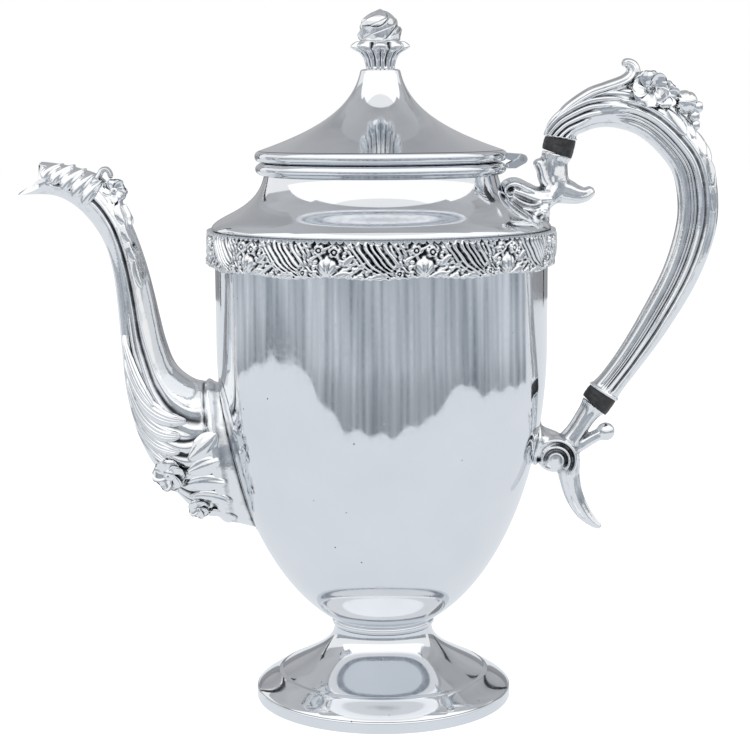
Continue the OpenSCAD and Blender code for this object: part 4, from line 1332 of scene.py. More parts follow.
@dataclass
class Spout(SubAssembly):
    """The two halves of the cast spout and the leaf that lies over its lip."""

    bowl: Bowl = field(default_factory=Bowl)
    reach: float = 138.8
    tip_z: float = 197.8
    foot_z: float = 69.4
    foot_w: float = 17.0
    mouth_w: float = 6.2
    wall: float = 1.6
    stations: tuple[tuple[float, ...], ...] = (
        (-0.30, -0.030, -0.140, 0.425, 0.00), (-0.03, 0.010, 0.045, 0.436, 0.00),
        (0.130, 0.050, 0.130, 0.447, 0.06), (0.260, 0.130, 0.215, 0.490, 0.18),
        (0.372, 0.225, 0.262, 0.560, 0.32), (0.436, 0.325, 0.292, 0.635, 0.48),
        (0.474, 0.425, 0.316, 0.702, 0.63), (0.491, 0.550, 0.346, 0.776, 0.76),
        (0.505, 0.667, 0.384, 0.850, 0.85), (0.523, 0.768, 0.430, 0.920, 0.91),
        (0.560, 0.850, 0.489, 0.986, 0.95), (0.625, 0.916, 0.573, 1.045, 0.97),
        (0.716, 0.970, 0.684, 1.070, 1.00), (0.827, 0.999, 0.788, 1.084, 1.03),
        (1.000, 1.000, 0.882, 1.094, 1.00))
    acanthus: tuple[LeafRow, ...] = (
        ([-98.2, 146.0], [-96.2, 131.0], [-92.5, 123.0], [-86.0, 117.0], 2.6),
        ([-97.8, 137.0], [-94.5, 120.0], [-87.0, 110.5], [-73.5, 112.3], 3.6),
        ([-97.0, 130.0], [-94.5, 113.0], [-88.0, 104.0], [-75.5, 107.0], 3.6),
        ([-96.0, 122.0], [-93.0, 106.0], [-88.0, 99.5], [-76.0, 100.6], 3.2),
        ([-94.5, 113.0], [-91.0, 103.0], [-88.0, 98.0], [-82.0, 96.5], 2.4))
    broad: tuple[LeafRow, ...] = (
        ([-74.5, 97.5], [-70.0, 99.5], [-67.0, 104.0], [-62.6, 108.5], 4.3),
        ([-75.0, 92.5], [-71.0, 93.5], [-67.0, 95.5], [-61.2, 98.0], 3.8),
        ([-77.5, 86.5], [-72.0, 88.5], [-66.5, 88.5], [-58.8, 89.0], 3.6),
        ([-74.5, 82.5], [-69.0, 84.0], [-64.0, 82.5], [-57.0, 80.5], 3.0),
        ([-70.0, 76.0], [-66.0, 76.5], [-61.5, 75.5], [-55.5, 73.0], 2.2),
        ([-86.5, 94.5], [-85.0, 91.0], [-82.0, 87.0], [-78.0, 83.5], 2.2))
    lobes: tuple[LeafRow, ...] = (
        ([-121.5, 207.6], [-124.0, 207.8], [-127.0, 206.6], [-127.8, 203.8], 2.3),
        ([-117.0, 207.2], [-120.5, 207.0], [-123.0, 205.4], [-124.2, 202.0], 2.7),
        ([-112.8, 205.8], [-116.5, 205.6], [-119.0, 203.4], [-120.3, 199.6], 2.8),
        ([-109.3, 204.2], [-112.5, 203.2], [-115.0, 200.8], [-116.3, 197.0], 2.8),
        ([-106.4, 202.2], [-109.0, 200.6], [-111.2, 198.2], [-112.6, 194.2], 2.6))
    husks: tuple[LeafRow, ...] = (
        ([-100.4, 195.6], [-100.6, 192.6], [-99.6, 189.2], [-97.6, 186.4], 1.9),
        ([-97.8, 194.6], [-96.8, 191.6], [-96.4, 188.6], [-96.4, 185.6], 1.3),
        ([-98.4, 187.0], [-97.8, 184.0], [-96.6, 181.2], [-95.2, 178.6], 1.9),
        ([-96.6, 180.4], [-95.8, 177.4], [-94.6, 174.6], [-93.4, 171.8], 1.9),
        ([-94.6, 173.6], [-93.6, 170.4], [-92.6, 166.6], [-91.6, 162.0], 1.6))
    curl: tuple[tuple[float, ...], ...] = (
        (-110.6, 203.9, 1.1, 3.4), (-108.4, 203.9, 1.4, 3.6), (-107.2, 205.4, 1.2, 3.4),
        (-106.2, 207.0, 1.1, 3.2),
        (-104.4, 207.2, 1.1, 3.0), (-103.3, 205.6, 1.1, 2.8), (-103.0, 203.8, 1.1, 2.8))
    flowers: tuple[tuple[float, ...], ...] = ((-80.9, 91.8, 6.4, 0.2), (-70.4, 78.1, 4.1, 0.7))
    lip_flower: tuple[float, float] = (-102.3, 198.6)

    @property
    def root_top_z(self) -> float:
        """Height of the spout's upper edge on the bowl."""
        return self.foot_z + 0.445 * (self.tip_z - self.foot_z)

    def point(self, s: Array, a: Array, grow: Array | float = 0.0) -> Array:
        """Points of the spout's plain form.

        Each station gives the outer and the inner edge. The section is the ellipse whose one
        axis joins them and whose other is the width.

        Args:
            s: stations, from 0 at the bowl to 14 at the lip.
            a: angles in degrees from the inner edge.
            grow: how far the points are moved outwards.

        Returns:
            A point for each s and a.
        """
        p = through(self.stations, np.asarray(s, float))
        span, rise = self.reach - self.bowl.radius, self.tip_z - self.foot_z
        low = np.stack([-self.bowl.radius - span * p[..., 0], self.foot_z + rise * p[..., 1]], -1)
        high = np.stack([-self.bowl.radius - span * p[..., 2], self.foot_z + rise * p[..., 3]], -1)
        half = (high - low) / 2
        length = np.linalg.norm(half, axis=-1)
        c = ((1 + grow / length) * np.cos(np.radians(a)))[..., None]
        q = (low + high) / 2 + half * c
        w = mix(self.foot_w, self.mouth_w, p[..., 4]) + grow
        return np.stack([q[..., 0], w * np.sin(np.radians(a)), q[..., 1]], -1)

    def line_angle(self, s: Array) -> Array:
        """Angle of the groove that parts the outer from the inner side of the spout."""
        return np.interp(s, [0, 1, 2, 4, 6, 8, 11, 13, 14], [58, 60, 66, 78, 85, 86, 92, 104, 112])

    def relief(self, s: Array, a: Array) -> Array:
        """Height of the chasing over the plain form, in millimetres.

        A groove with two ridges follows line_angle. Outside it long rounded flutes run down the
        lower half and bend towards the bowl, and a flange with a groove marks the joint.

        Args:
            s: stations.
            a: angles in degrees from the inner edge.

        Returns:
            The height for each s and a.
        """
        groove = self.line_angle(s)
        off = (a - groove) / 10.0
        chase = -0.85 * bump((off + 0.3) / 0.45) + 0.4 * bump((off - 0.5) / 0.3)
        chase = chase + 0.35 * bump((off + 1.2) / 0.25)
        chase = chase * ease((s - 0.9) / 0.6) * ease((13.3 - s) / 0.7)
        curl = (np.clip(7.0 - s, 0, 7) / 3.0) ** 1.5
        flute = crease((a - groove) / 13.0 + 1.3 * curl)
        leaf = ease((off - 1.0) / 0.7) * ease((8.1 - s - 0.02 * (a - groove)) / 1.8) * ease((s - 1.1) / 0.5)
        chase = chase + 1.15 * leaf * (flute - 0.4) * ease((184 - a) / 14)
        return chase + 1.1 * bump((s - 0.98) / 0.13) - 0.5 * bump((s - 1.2) / 0.08)

    def trimmed(self, s: Array, a: Array) -> Array:
        """Stations near the lip, drawn back at the sides so that the mouth opens as a trough."""
        return s - 0.72 * np.sin(np.radians(a)) ** 1.3 * ease((s - 11.6) / 2.4)

    def half(self, side: int) -> Array:
        """One half's grid: its outer face from the inner edge round to the outer, and back inside.

        Args:
            side: 1 for positive Y, -1 for negative.

        Returns:
            A grid of points.
        """
        s = np.linspace(0.0, len(self.stations) - 1, 420)[:, None]
        a = np.linspace(0, 180, 120)[None, :]
        fade = ease(a / 8) * ease((180 - a) / 6)
        s_grid, a_grid = np.broadcast_arrays(self.trimmed(s, a), a)
        outer = self.point(s_grid, a_grid, self.relief(s_grid, a_grid) * fade)
        back = np.linspace(180, 0, 30)[None, :]
        s_back, a_back = np.broadcast_arrays(self.trimmed(s, back), back)
        inner = self.point(s_back, a_back, -self.wall * (1 - 0.5 * ease((s_back - 12.3) / 1.2)))
        points = np.concatenate([outer, inner], 1)
        points[..., 1] = side * (points[..., 1] + SOLDER / 2)
        return self.bowl.push_out(points)

    def form(self) -> Array:
        """A coarse grid of the plain form's side, for laying leaves on it."""
        s, a = np.meshgrid(np.linspace(0.6, 13.8, 420), np.linspace(4, 176, 130), indexing="ij")
        return self.point(s, a)

    def build(self) -> None:
        """Makes both halves with their leaves and flowers, and the crest."""
        form = self.form()
        for side, name in ((-1, "spout_left"), (1, "spout_right")):
            skin = Skin().grid(self.half(side))
            self.foot_leaves(skin, form, side)
            for x, z, radius, turn in self.flowers:
                line, out = settle(form, np.array([[x, z]]), side)
                facing = out[0] * 0.6 + np.array([0, side * 0.7, 0])
                Blossom(line[0] + facing * 1.9, facing, radius, turn=turn, cup=0.26).add_to(skin)
                skin.grid(ball(line[0], (radius * 0.6,) * 3))
            self.cast(skin, f"{name}_casting", name, 14, 0.4)
        self.crest(form)

    def foot_leaves(self, skin: Skin, form: Array, side: int) -> None:
        """Lays the acanthus that sweeps to the bowl, and the broad leaves by the flowers.

        Args:
            skin: where the leaves go.
            form: grid of the plain form.
            side: 1 for positive Y, -1 for negative.
        """
        LeafCut(lift=0.25, crown=1.3, ribs=5, rib=0.4, blunt=0.7).lay(skin, form, self.acanthus, side)
        LeafCut(lift=0.35, crown=0.9, ribs=2, rib=0.3, blunt=0.8).lay(skin, form, self.broad, side)

    def crest(self, form: Array) -> None:
        """Makes the leaf over the lip with its lobes, the curl, a flower and husks on each cheek.

        Args:
            form: grid of the plain form.
        """
        skin = Skin()
        u = np.linspace(0, 1, 80)[:, None]
        v = np.linspace(-1, 1, 49)[None, :]
        s_grid, a_grid = np.broadcast_arrays(mix(10.35, 13.95, u) + 0 * v, v * mix(58, 26, u**2))
        body = 0.7 * np.sqrt(np.clip(1 - v**2, 0, 1)) * np.sin(np.pi * np.clip(0.12 + 0.84 * u, 0, 1)) ** 0.5
        front = self.point(s_grid, a_grid, 0.2 + body + 0.2 * bump(v / 0.16))
        rear = self.point(s_grid, a_grid, 0 * body + SOLDER)[:, ::-1]
        skin.grid(np.concatenate([front, rear], 1))
        skin.grid(Limb(self.curl, rows=64, cols=40, flutes=6, depth=0.25, round_end=0.12).points())
        for side in (-1, 1):
            LeafCut(lift=0.8, crown=1.0, ribs=2, rib=0.35, blunt=0.55).lay(skin, form, self.lobes, side)
            LeafCut(lift=0.2, crown=0.8, ribs=1, rib=0.2, blunt=0.6).lay(skin, form, self.husks, side)
            line, _ = settle(form, np.array([self.lip_flower]), side)
            facing = np.array([0.35, side * 0.9, 0.25])
            Blossom(line[0] + facing * 1.5, facing, 4.6, turn=0.3, cup=0.28).add_to(skin)
            skin.grid(ball(line[0], (2.6, 2.2, 2.6)))
        self.cast(skin, "spout_lip_leaf", "spout_leaf_crest", 9, 0.5)


@dataclass(frozen=True)
class Joint:
    """An insulator's middle, its axis and the lean of its upper and lower faces in degrees."""

    x: float
    z: float
    axis: float
    upper: float
    lower: float

    def direction(self, lean: float) -> Array:
        """Unit vector in (x, z) that leans from the vertical towards the handle."""
        return np.array([math.sin(math.radians(lean)), math.cos(math.radians(lean))])

    def face_mid(self, end: int, half: float) -> Array:
        """Middle of the upper (1) or lower (-1) face."""
        return np.array([self.x, self.z]) + self.direction(self.axis) * end * half


@dataclass
class Handle(SubAssembly):
    """The hollow loop in two halves, with the insulators and the spray of flowers on its crown."""

    bowl: Bowl = field(default_factory=Bowl)
    mouth_r: float = 44.6
    mouth_z: float = 204.6
    bulge: float = 50.0
    half_t: float = 7.7
    half_w: float = 7.0
    insulator_r: float = 5.9
    insulator_h: float = 6.0
    stations: tuple[tuple[float, ...], ...] = (
        (1.000, 0.000, 0.775, 0.84), (1.024, 0.020, 0.750, 0.82), (1.058, 0.092, 0.760, 0.84),
        (1.104, 0.282, 0.860, 0.90), (1.112, 0.496, 0.970, 0.96), (1.072, 0.701, 0.980, 1.00),
        (0.984, 0.870, 0.980, 1.00), (0.885, 0.965, 1.000, 1.00), (0.750, 0.967, 1.000, 1.00),
        (0.622, 0.899, 0.980, 1.00), (0.458, 0.732, 0.900, 0.96), (0.277, 0.476, 0.800, 0.90),
        (0.139, 0.253, 0.700, 0.84), (0.045, 0.085, 0.680, 0.80), (0.000, 0.000, 0.775, 0.84))
    back_leaves: tuple[LeafRow, ...] = (
        ([107.4, 228.6], [109.6, 226.6], [112.8, 223.2], [115.0, 218.4], 2.4),
        ([112.2, 227.6], [115.0, 225.6], [117.4, 222.0], [118.4, 217.6], 2.2),
        ([118.0, 228.4], [119.6, 226.8], [120.2, 224.0], [119.8, 221.0], 2.0),
        ([118.0, 221.4], [119.6, 219.0], [121.6, 215.0], [122.2, 210.6], 2.3),
        ([121.0, 218.2], [122.8, 215.6], [124.2, 212.0], [124.4, 208.2], 1.6),
        ([122.6, 211.2], [124.0, 208.6], [125.2, 205.0], [125.2, 200.4], 2.1),
        ([124.8, 206.6], [125.8, 204.2], [126.4, 201.6], [126.2, 198.8], 1.4),
        ([125.2, 200.4], [126.0, 197.4], [126.4, 194.0], [126.0, 189.4], 1.7))
    crown_flowers: tuple[tuple[float, ...], ...] = (
        (101.4, 4.6, 236.2, 0.05, 0.12, 6.9, 0.35), (107.1, 3.5, 234.2, 0.3, 0.15, 5.2, 0.9))
    husks: tuple[tuple[float, ...], ...] = (
        (120.0, 229.6, 1.9, 0.0), (118.8, 226.2, 2.0, 0.6), (119.2, 222.8, 1.8, 0.9))

    def __post_init__(self) -> None:
        """Works out the two joints."""
        self.upper = Joint(self.mouth_r + 23.1, self.mouth_z + 10.6, 13.6, 9, 20)
        self.lower = Joint(float(self.bowl.radius_at(117.6)) + 21.7, 117.6, 35, 33, 42)

    def centre(self, s: Array) -> Array:
        """The loop's centre line.

        Args:
            s: stations.

        Returns:
            For each station x, z, the half thickness and the half width.
        """
        half = self.insulator_h / 2 + SOLDER
        top, end = self.upper.face_mid(1, half), self.lower.face_mid(1, half)
        p = through(self.stations, np.asarray(s, float))
        base = end + (top - end) * p[..., :1]
        return np.stack([base[..., 0] + self.bulge * p[..., 1], base[..., 1], self.half_t * p[..., 2],
                         self.half_w * p[..., 3]], -1)

    def run(self, s: Array) -> Array:
        """Direction of the loop, which turns at both ends into that of the insulator's face.

        Args:
            s: stations.

        Returns:
            Unit vectors in (x, z).
        """
        last = len(self.stations) - 1
        s = np.asarray(s, float)
        d = (self.centre(np.clip(s + 0.3, 0, last)) - self.centre(np.clip(s - 0.3, 0, last)))[..., :2]
        d = d / np.linalg.norm(d, axis=-1, keepdims=True)
        top, end = self.upper.direction(self.upper.upper), -self.lower.direction(self.lower.upper)
        face = np.where((s < last / 2)[..., None], top, end)
        share = np.clip(np.minimum(s, last - s) / 3, 0, 1)[..., None]
        d = mix(face, d, share)
        return d / np.linalg.norm(d, axis=-1, keepdims=True)

    def point(self, s: Array, a: Array, grow: Array | float = 0.0) -> Array:
        """Points of the handle's plain form.

        Args:
            s: stations, from 0 at the upper insulator to 14 at the lower one.
            a: angles in degrees from the outer edge.
            grow: how far the points are moved outwards.

        Returns:
            A point for each s and a.
        """
        c, d = self.centre(s), self.run(s)
        last = len(self.stations) - 1
        blend = ease(1 - np.minimum(s, last - s) / 0.35)
        t = mix(c[..., 2], self.insulator_r, blend) + grow
        w = mix(c[..., 3], self.insulator_r, blend) + grow
        cos, sin = np.cos(np.radians(a)), np.sin(np.radians(a))
        return np.stack([c[..., 0] - d[..., 1] * t * cos, w * sin, c[..., 1] + d[..., 0] * t * cos], -1)

    def relief(self, s: Array, a: Array) -> Array:
        """Height of the chasing over the plain loop.

        An acanthus of flutes fans from the upper insulator over the crown, and ends in lobes.
        From there on ridges run along the side, with a sunk panel inside them.

        Args:
            s: stations.
            a: angles in degrees from the outer edge.

        Returns:
            The height in millimetres for each s and a.
        """
        fan = (a - 4 * s) / 23.0 - 0.42 * s
        flute = crease(fan)
        reach = 4.9 - 0.021 * np.clip(a, 0, 200) + 0.5 * flute
        leaf = ease((reach - s) / 0.35) * ease((128 - 4 * s - a) / 14) * ease((s - 0.05) / 0.3)
        chase = 1.15 * leaf * (flute - 0.35)
        lines = 0.5 * bump((a - 66) / 4.2) - 0.55 * bump((a - 75) / 4.5) + 0.5 * bump((a - 86) / 4.5)
        panel = -0.7 * ease((a - 92) / 7) * ease((134 - a) / 9) + 0.35 * bump((a - 140) / 5)
        panel = panel - 0.35 * (bump((a - 101) / 2.2) + bump((a - 111) / 2.2) + bump((a - 121) / 2.2))
        taper = ease((s - 3.6) / 0.9) * ease((13.9 - s) / 0.6)
        chase = chase + taper * (lines + panel)
        return chase + 0.5 * bump((s - 0.12) / 0.12) + 0.5 * bump((s - 13.88) / 0.1)

    def half(self, side: int) -> Array:
        """One half's grid: its outer face, and a flat back on the seam.

        Args:
            side: 1 for positive Y, -1 for negative.

        Returns:
            A grid of points.
        """
        s = np.linspace(0, len(self.stations) - 1, 560)[:, None]
        a = np.linspace(0, 180, 128)[None, :]
        s_grid, a_grid = np.broadcast_arrays(s, a)
        fade = ease(a_grid / 6) * ease((180 - a_grid) / 6)
        outer = self.point(s_grid, a_grid, self.relief(s_grid, a_grid) * fade)
        outer[..., 1] = side * (outer[..., 1] + SOLDER / 2)
        return outer

    def crown(self, s: float, grow: float = 0.0, dx: float = 0.0, dz: float = 0.0) -> Array:
        """A place over the outer edge at station s, as (x, z)."""
        p = self.point(np.array(s), np.array(0.0), grow)
        return np.array([p[0] + dx, p[2] + dz])

    def build(self) -> None:
        """Makes the halves, the insulators and the spray."""
        for side, name in ((-1, "handle_left"), (1, "handle_right")):
            self.cast(Skin().grid(self.half(side)), f"{name}_casting", name, 14, 0.36)
        self.insulator(self.upper, "upper_insulator")
        self.insulator(self.lower, "lower_insulator")
        self.spray()

    def insulator(self, joint: Joint, node: str) -> None:
        """Makes a black band with wedge faces: each face is the plane that its lean gives.

        Args:
            joint: where the band sits.
            node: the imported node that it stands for.
        """
        r = np.concatenate([
            np.linspace(0.3, self.insulator_r - 0.5,
            6), self.insulator_r - 0.5 + 0.5 * np.sin(np.linspace(0.2, np.pi / 2, 6)),
            np.full(12, self.insulator_r)])
        a = circle(72)[None, :]
        half = self.insulator_h / 2
        top = half - np.tan(math.radians(joint.upper - joint.axis)) * 1.0 * (r[:12, None] * np.cos(a))
        low = -half - np.tan(math.radians(joint.lower - joint.axis)) * (r[:12, None] * np.cos(a))
        round_off = np.concatenate([np.zeros(6), 0.5 * (1 - np.cos(np.linspace(0.2, np.pi / 2, 6)))])[:, None]
        top, low = top - round_off, low + round_off
        side_share = np.linspace(0, 1, 14)[1:-1, None]
        side_h = mix(top[-1:], low[-1:], side_share)
        swell = 0.16 * np.sin(np.pi * side_share) - 0.1 * bump((side_share - 0.5) / 0.1)
        radius = np.concatenate([
            np.broadcast_to(r[:12, None], top.shape), self.insulator_r + swell + 0 * side_h,
            np.broadcast_to(r[:12, None][::-1], low.shape)])
        height = np.concatenate([top, side_h, low[::-1]])
        axis = joint.direction(joint.axis)
        across = np.array([axis[1], -axis[0]])
        u = radius * np.cos(a)
        x = joint.x + across[0] * u + axis[0] * height
        z = joint.z + across[1] * u + axis[1] * height
        points = np.stack([x, radius * np.sin(a), z], -1)
        self.place(Skin().grid(points), f"{node}_band", EBONITE, Slot.INSULATOR, [node], 50)

    def spray(self) -> None:
        """The standing leaf, two open flowers on each side, the bud and the leaves down the back."""
        skin = Skin()
        leaf = [(*self.crown(1.5, -1.8), 1.6, 3.2), (*self.crown(2.3, -1.0), 2.1, 4.8),
                (*self.crown(3.0, -0.4), 2.5, 5.6), (*self.crown(3.5, 0.2), 2.7, 5.8),
                (92.2, 238.9, 2.9, 5.6), (95.4, 241.6, 2.9, 5.3), (95.3, 244.7, 2.5, 4.9),
                (93.2, 246.1, 1.9, 4.5), (91.5, 245.3, 1.4, 4.2)]
        skin.grid(
            Limb(leaf, rows=130, cols=64, flutes=8, depth=0.4, round_start=0.05, round_end=0.1).points())
        for side in (-1, 1):
            for x, y, z, forward, rise, radius, turn in self.crown_flowers:
                facing = np.array([forward, side, rise])
                Blossom(np.array([x, side * y, z]), facing, radius, turn=turn, cup=0.4).add_to(skin)
            skin.grid(ball((115.3, side * 2.0, 231.3), (4.6, 4.5, 4.6), 26, 60, 5, 0.12))
        skin.grid(ball((101.4, 0, 235.6), (5.2, 4.9, 5.6)))
        skin.grid(ball((107.6, 0, 233.4), (4.4, 4.6, 4.4)))
        self.side_leaves(skin)
        self.cast(skin, "handle_spray_casting", "handle_flower_spray", 7, 0.3)

    def side_leaves(self, skin: Skin) -> None:
        """The husks round the bud and the pairs of smooth leaves down the outer edge of each side.

        Args:
            skin: where they go.
        """
        s, a = np.meshgrid(np.linspace(3.0, 10.0, 420), np.linspace(4, 120, 90), indexing="ij")
        form = self.point(s, a)
        for side in (-1, 1):
            LeafCut(lift=0.15, crown=0.75, ribs=1, rib=0.12, blunt=0.6, face=0.6).lay(
                skin, form, self.back_leaves, side)
            for x, z, size, turn in self.husks:
                skin.grid(ball((x, side * (3.2 - turn), z), (size, 1.6, size * 1.15), 16, 30, 3, 0.12))


@dataclass
class Sockets(SubAssembly):
    """The scrolled sockets that hold the insulators on the shoulder and on the bowl."""

    handle: Handle = field(default_factory=Handle)
    shoulder: Shoulder = field(default_factory=Shoulder)
    voxel: float = 0.42
    lower_z: float = 101.0

    def build(self) -> None:
        """Makes both sockets."""
        self.upper()
        self.lower()

    def weld(self, skin: Skin, name: str, node: str, sheet: Bowl | Shoulder) -> None:
        """Runs the limbs of a socket together with a voxel remesh, and lays them on the sheet.

        Args:
            skin: the limbs.
            name: the piece's name.
            node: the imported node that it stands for.
            sheet: the part of the pot that the socket is soldered to.
        """
        draft = skin.build(name + "_draft")
        fuse = draft.modifiers.new("fuse", "REMESH")
        fuse.mode = "VOXEL"
        fuse.voxel_size = self.voxel * MM
        soften = draft.modifiers.new("soften", "SMOOTH")
        soften.factor = 0.5
        soften.iterations = 5
        mesh = evaluated_mesh(draft)
        bpy.data.objects.remove(draft)
        mesh.name = name
        points = np.empty(len(mesh.vertices) * 3, np.float32)
        mesh.vertices.foreach_get("co", points)
        moved = sheet.push_out(points.reshape(-1, 3).astype(float) / MM)
        mesh.vertices.foreach_set("co", (moved * MM).astype(np.float32).ravel())
        mesh.polygons.foreach_set("use_smooth", np.ones(len(mesh.polygons), bool))
        mesh.update()
        piece = bpy.data.objects.new(name, mesh)
        show(piece)
        self.dress(piece, CAST_BRIGHT, Slot.CAST, [node])
        mark_recesses(piece, 12, 0.8)

    def upper(self) -> None:
        """The socket on the shoulder: a post, a spur, a ball scroll, a C-scroll and ribs below it."""
        joint, r = self.handle.upper, self.handle.insulator_r
        top = joint.face_mid(-1, self.handle.insulator_h / 2 + SOLDER)
        skin = Skin()
        skin.grid(Limb([
            (top[0], top[1], r, r), (top[0] - 0.8, top[1] - 3.2, 5.1, 5.3), (66.5, 204.2, 4.9, 5.6),
            (66.4, 199.4, 5.2, 6.0), (62.6, 194.6, 3.8, 8), (58.6, 189.6, 3.8, 10.5),
            (54.5, 185.5, 3.6, 11.5)], rows=120, cols=96, flutes=8, depth=0.5, twist=0.8).points())
        skin.grid(Limb([
            (65.4, 199.2, 5.4, 5.6), (70.8, 197.9, 4.8, 4.8), (74.8, 196.8, 3.8, 4.1),
            (78.4, 197.0, 2.8, 3.4), (81.2, 199.2, 1.9, 2.6)], rows=80, cols=64, flutes=6, depth=0.5,
            round_end=0.12).points())
        skin.grid(Limb([
            (48.6, 199.4, 2.2, 9.2), (55.0, 197.0, 3.4, 9.0), (60.0, 195.4, 3.8, 9.0),
            (65.0, 195.4, 3.4, 8.0)], rows=50, cols=48, flutes=4, depth=0.4, round_start=0.1).points())
        skin.grid(Limb([
            (64.8, 199.6, 2.6, 4.8), (62.4, 202.4, 2.3, 4.6), (61.3, 206.0, 2.0, 4.4),
            (60.3, 208.6, 2.1, 4.3), (59.5, 210.4, 2.0, 4.2)], rows=70, cols=48, round_end=0.14).points())
        scroll = [(64.0, 197.0, 3.0, 7.0), (59.4, 197.4, 2.5, 8.0), (55.2, 199.2, 2.5, 9.4),
                  (51.2, 201.1, 2.4, 10.4), (47.9, 200.6, 2.0, 10.4), (46.9, 198.2, 1.7, 10.2),
                  (48.4, 196.4, 1.4, 10.0), (50.4, 197.2, 1.1, 9.8)]
        skin.grid(Limb(scroll, rows=120, cols=56, flutes=4, depth=0.35, round_end=0.04).points())
        skin.grid(Limb([(46.5, 199.0, 2.6, 8.6), (51.5, 194.4, 4.2, 9.2), (57.5, 191.0, 4.6, 9.6),
                        (63.5, 192.6, 4.0, 8.6)], rows=60, cols=60).points())
        for k in range(4):
            low = 2.1 * k
            rib = [(49.0 - 0.6 * low, 197.6 - 1.1 * low, 0.8, 10.0), (
                52.6 - 0.2 * low, 194.8 - 1.1 * low, 1.0, 10.4), (57.0 + 0.1 * low, 193.4 - low, 1.1, 10.4),
                (61.6 + 0.1 * low, 194.4 - 0.8 * low, 1.0, 9.4)]
            skin.grid(Limb(rib, rows=60, cols=40, round_start=0.1, round_end=0.1).points())
        skin.grid(ball((61.6, 0, 190.6), (2.7, 10.4, 2.7), 30, 36))
        skin.grid(Limb([(60, 190, 3, 9), (62.4, 187.4, 2.2, 7), (63.6, 185.6, 1.2, 4)], rows=40, cols=48,
                       flutes=6, depth=0.4, round_end=0.15).points())
        self.weld(skin, "upper_socket_casting", "upper_socket", self.shoulder)

    def lower(self) -> None:
        """The socket on the bowl: a post, a C-scroll of nested ribs, a sweeping tail and a ball."""
        joint, r = self.handle.lower, self.handle.insulator_r
        bowl = self.shoulder.bowl
        top = joint.face_mid(-1, self.handle.insulator_h / 2 + SOLDER)
        z = self.lower_z
        x = float(bowl.radius_at(z))
        skin = Skin()
        skin.grid(Limb([
            (top[0], top[1], r - 0.4, r - 0.2), (top[0] - 1.2, top[1] - 1.6, 4.6, 4.8),
            (top[0] - 3.6, top[1] - 5.0, 4.0, 4.6), (x + 15.0, z + 3, 4.0, 4.8),
            (x + 10.6, z - 1.8, 5.0, 5.6), (x + 5, z - 1.6, 6.4, 7), (x - 3, z, 8, 9)], rows=130, cols=84,
            flutes=6, depth=0.6).points())
        skin.grid(Limb([
            (x + 10.0, z - 1.0, 5, 5.6), (x + 12.4, z - 7, 5.0, 5.2), (x + 13, z - 13.4, 4.4, 4.4),
            (x + 15, z - 21.3, 3.8, 3.8), (x + 18.8, z - 28.2, 3.1, 3), (x + 23, z - 32.6, 2, 2),
            (x + 26.2, z - 34.4, 1.1, 1.2)], rows=120, cols=64, flutes=5, depth=0.55, twist=2.2,
            round_end=0.05).points())
        skin.grid(Limb([
            (x + 12, z - 4, 3.0, 4.0), (x + 17.0, z - 1.6, 2.8, 3.4), (x + 21.5, z + 1.0, 2.5, 3.0),
            (x + 25.4, z + 3.0, 2.4, 2.8)], rows=60, cols=56, flutes=6, depth=0.4).points())
        skin.grid(ball((x + 27.2, 0, z + 3.7), (3.6, 3.4, 3.6), 24, 40))
        skin.grid(ball((x + 7.0, 0, z - 5.6), (6.6, 7.2, 6.6), 24, 40))
        for size, width, t in ((7.9, 7.4, 1.25), (5.3, 8.0, 1.15), (2.9, 8.5, 1.0)):
            a = np.linspace(-0.9, 3.5, 12)
            arc = [(x + 7.2 + size * math.cos(k), z - 6.4 + size * math.sin(k), t, width) for k in a]
            skin.grid(Limb(arc, rows=80, cols=44, round_start=0.06, round_end=0.06).points())
        for half_w, reach in ((8.6, 9.6), (7.2, 8.0)):
            plate = [(x + 0.4, z + reach, 1.3, half_w * 0.4), (x + 1.0, z + reach * 0.5, 1.6, half_w * 0.85),
                     (x + 0.7, z, 1.6, half_w), (x - 0.9, z - reach, 1.4, half_w * 0.6)]
            skin.grid(Limb(
                plate, rows=50, cols=48, flutes=10, depth=0.25, round_start=0.12, round_end=0.2).points())
        self.weld(skin, "lower_socket_casting", "lower_socket", bowl)


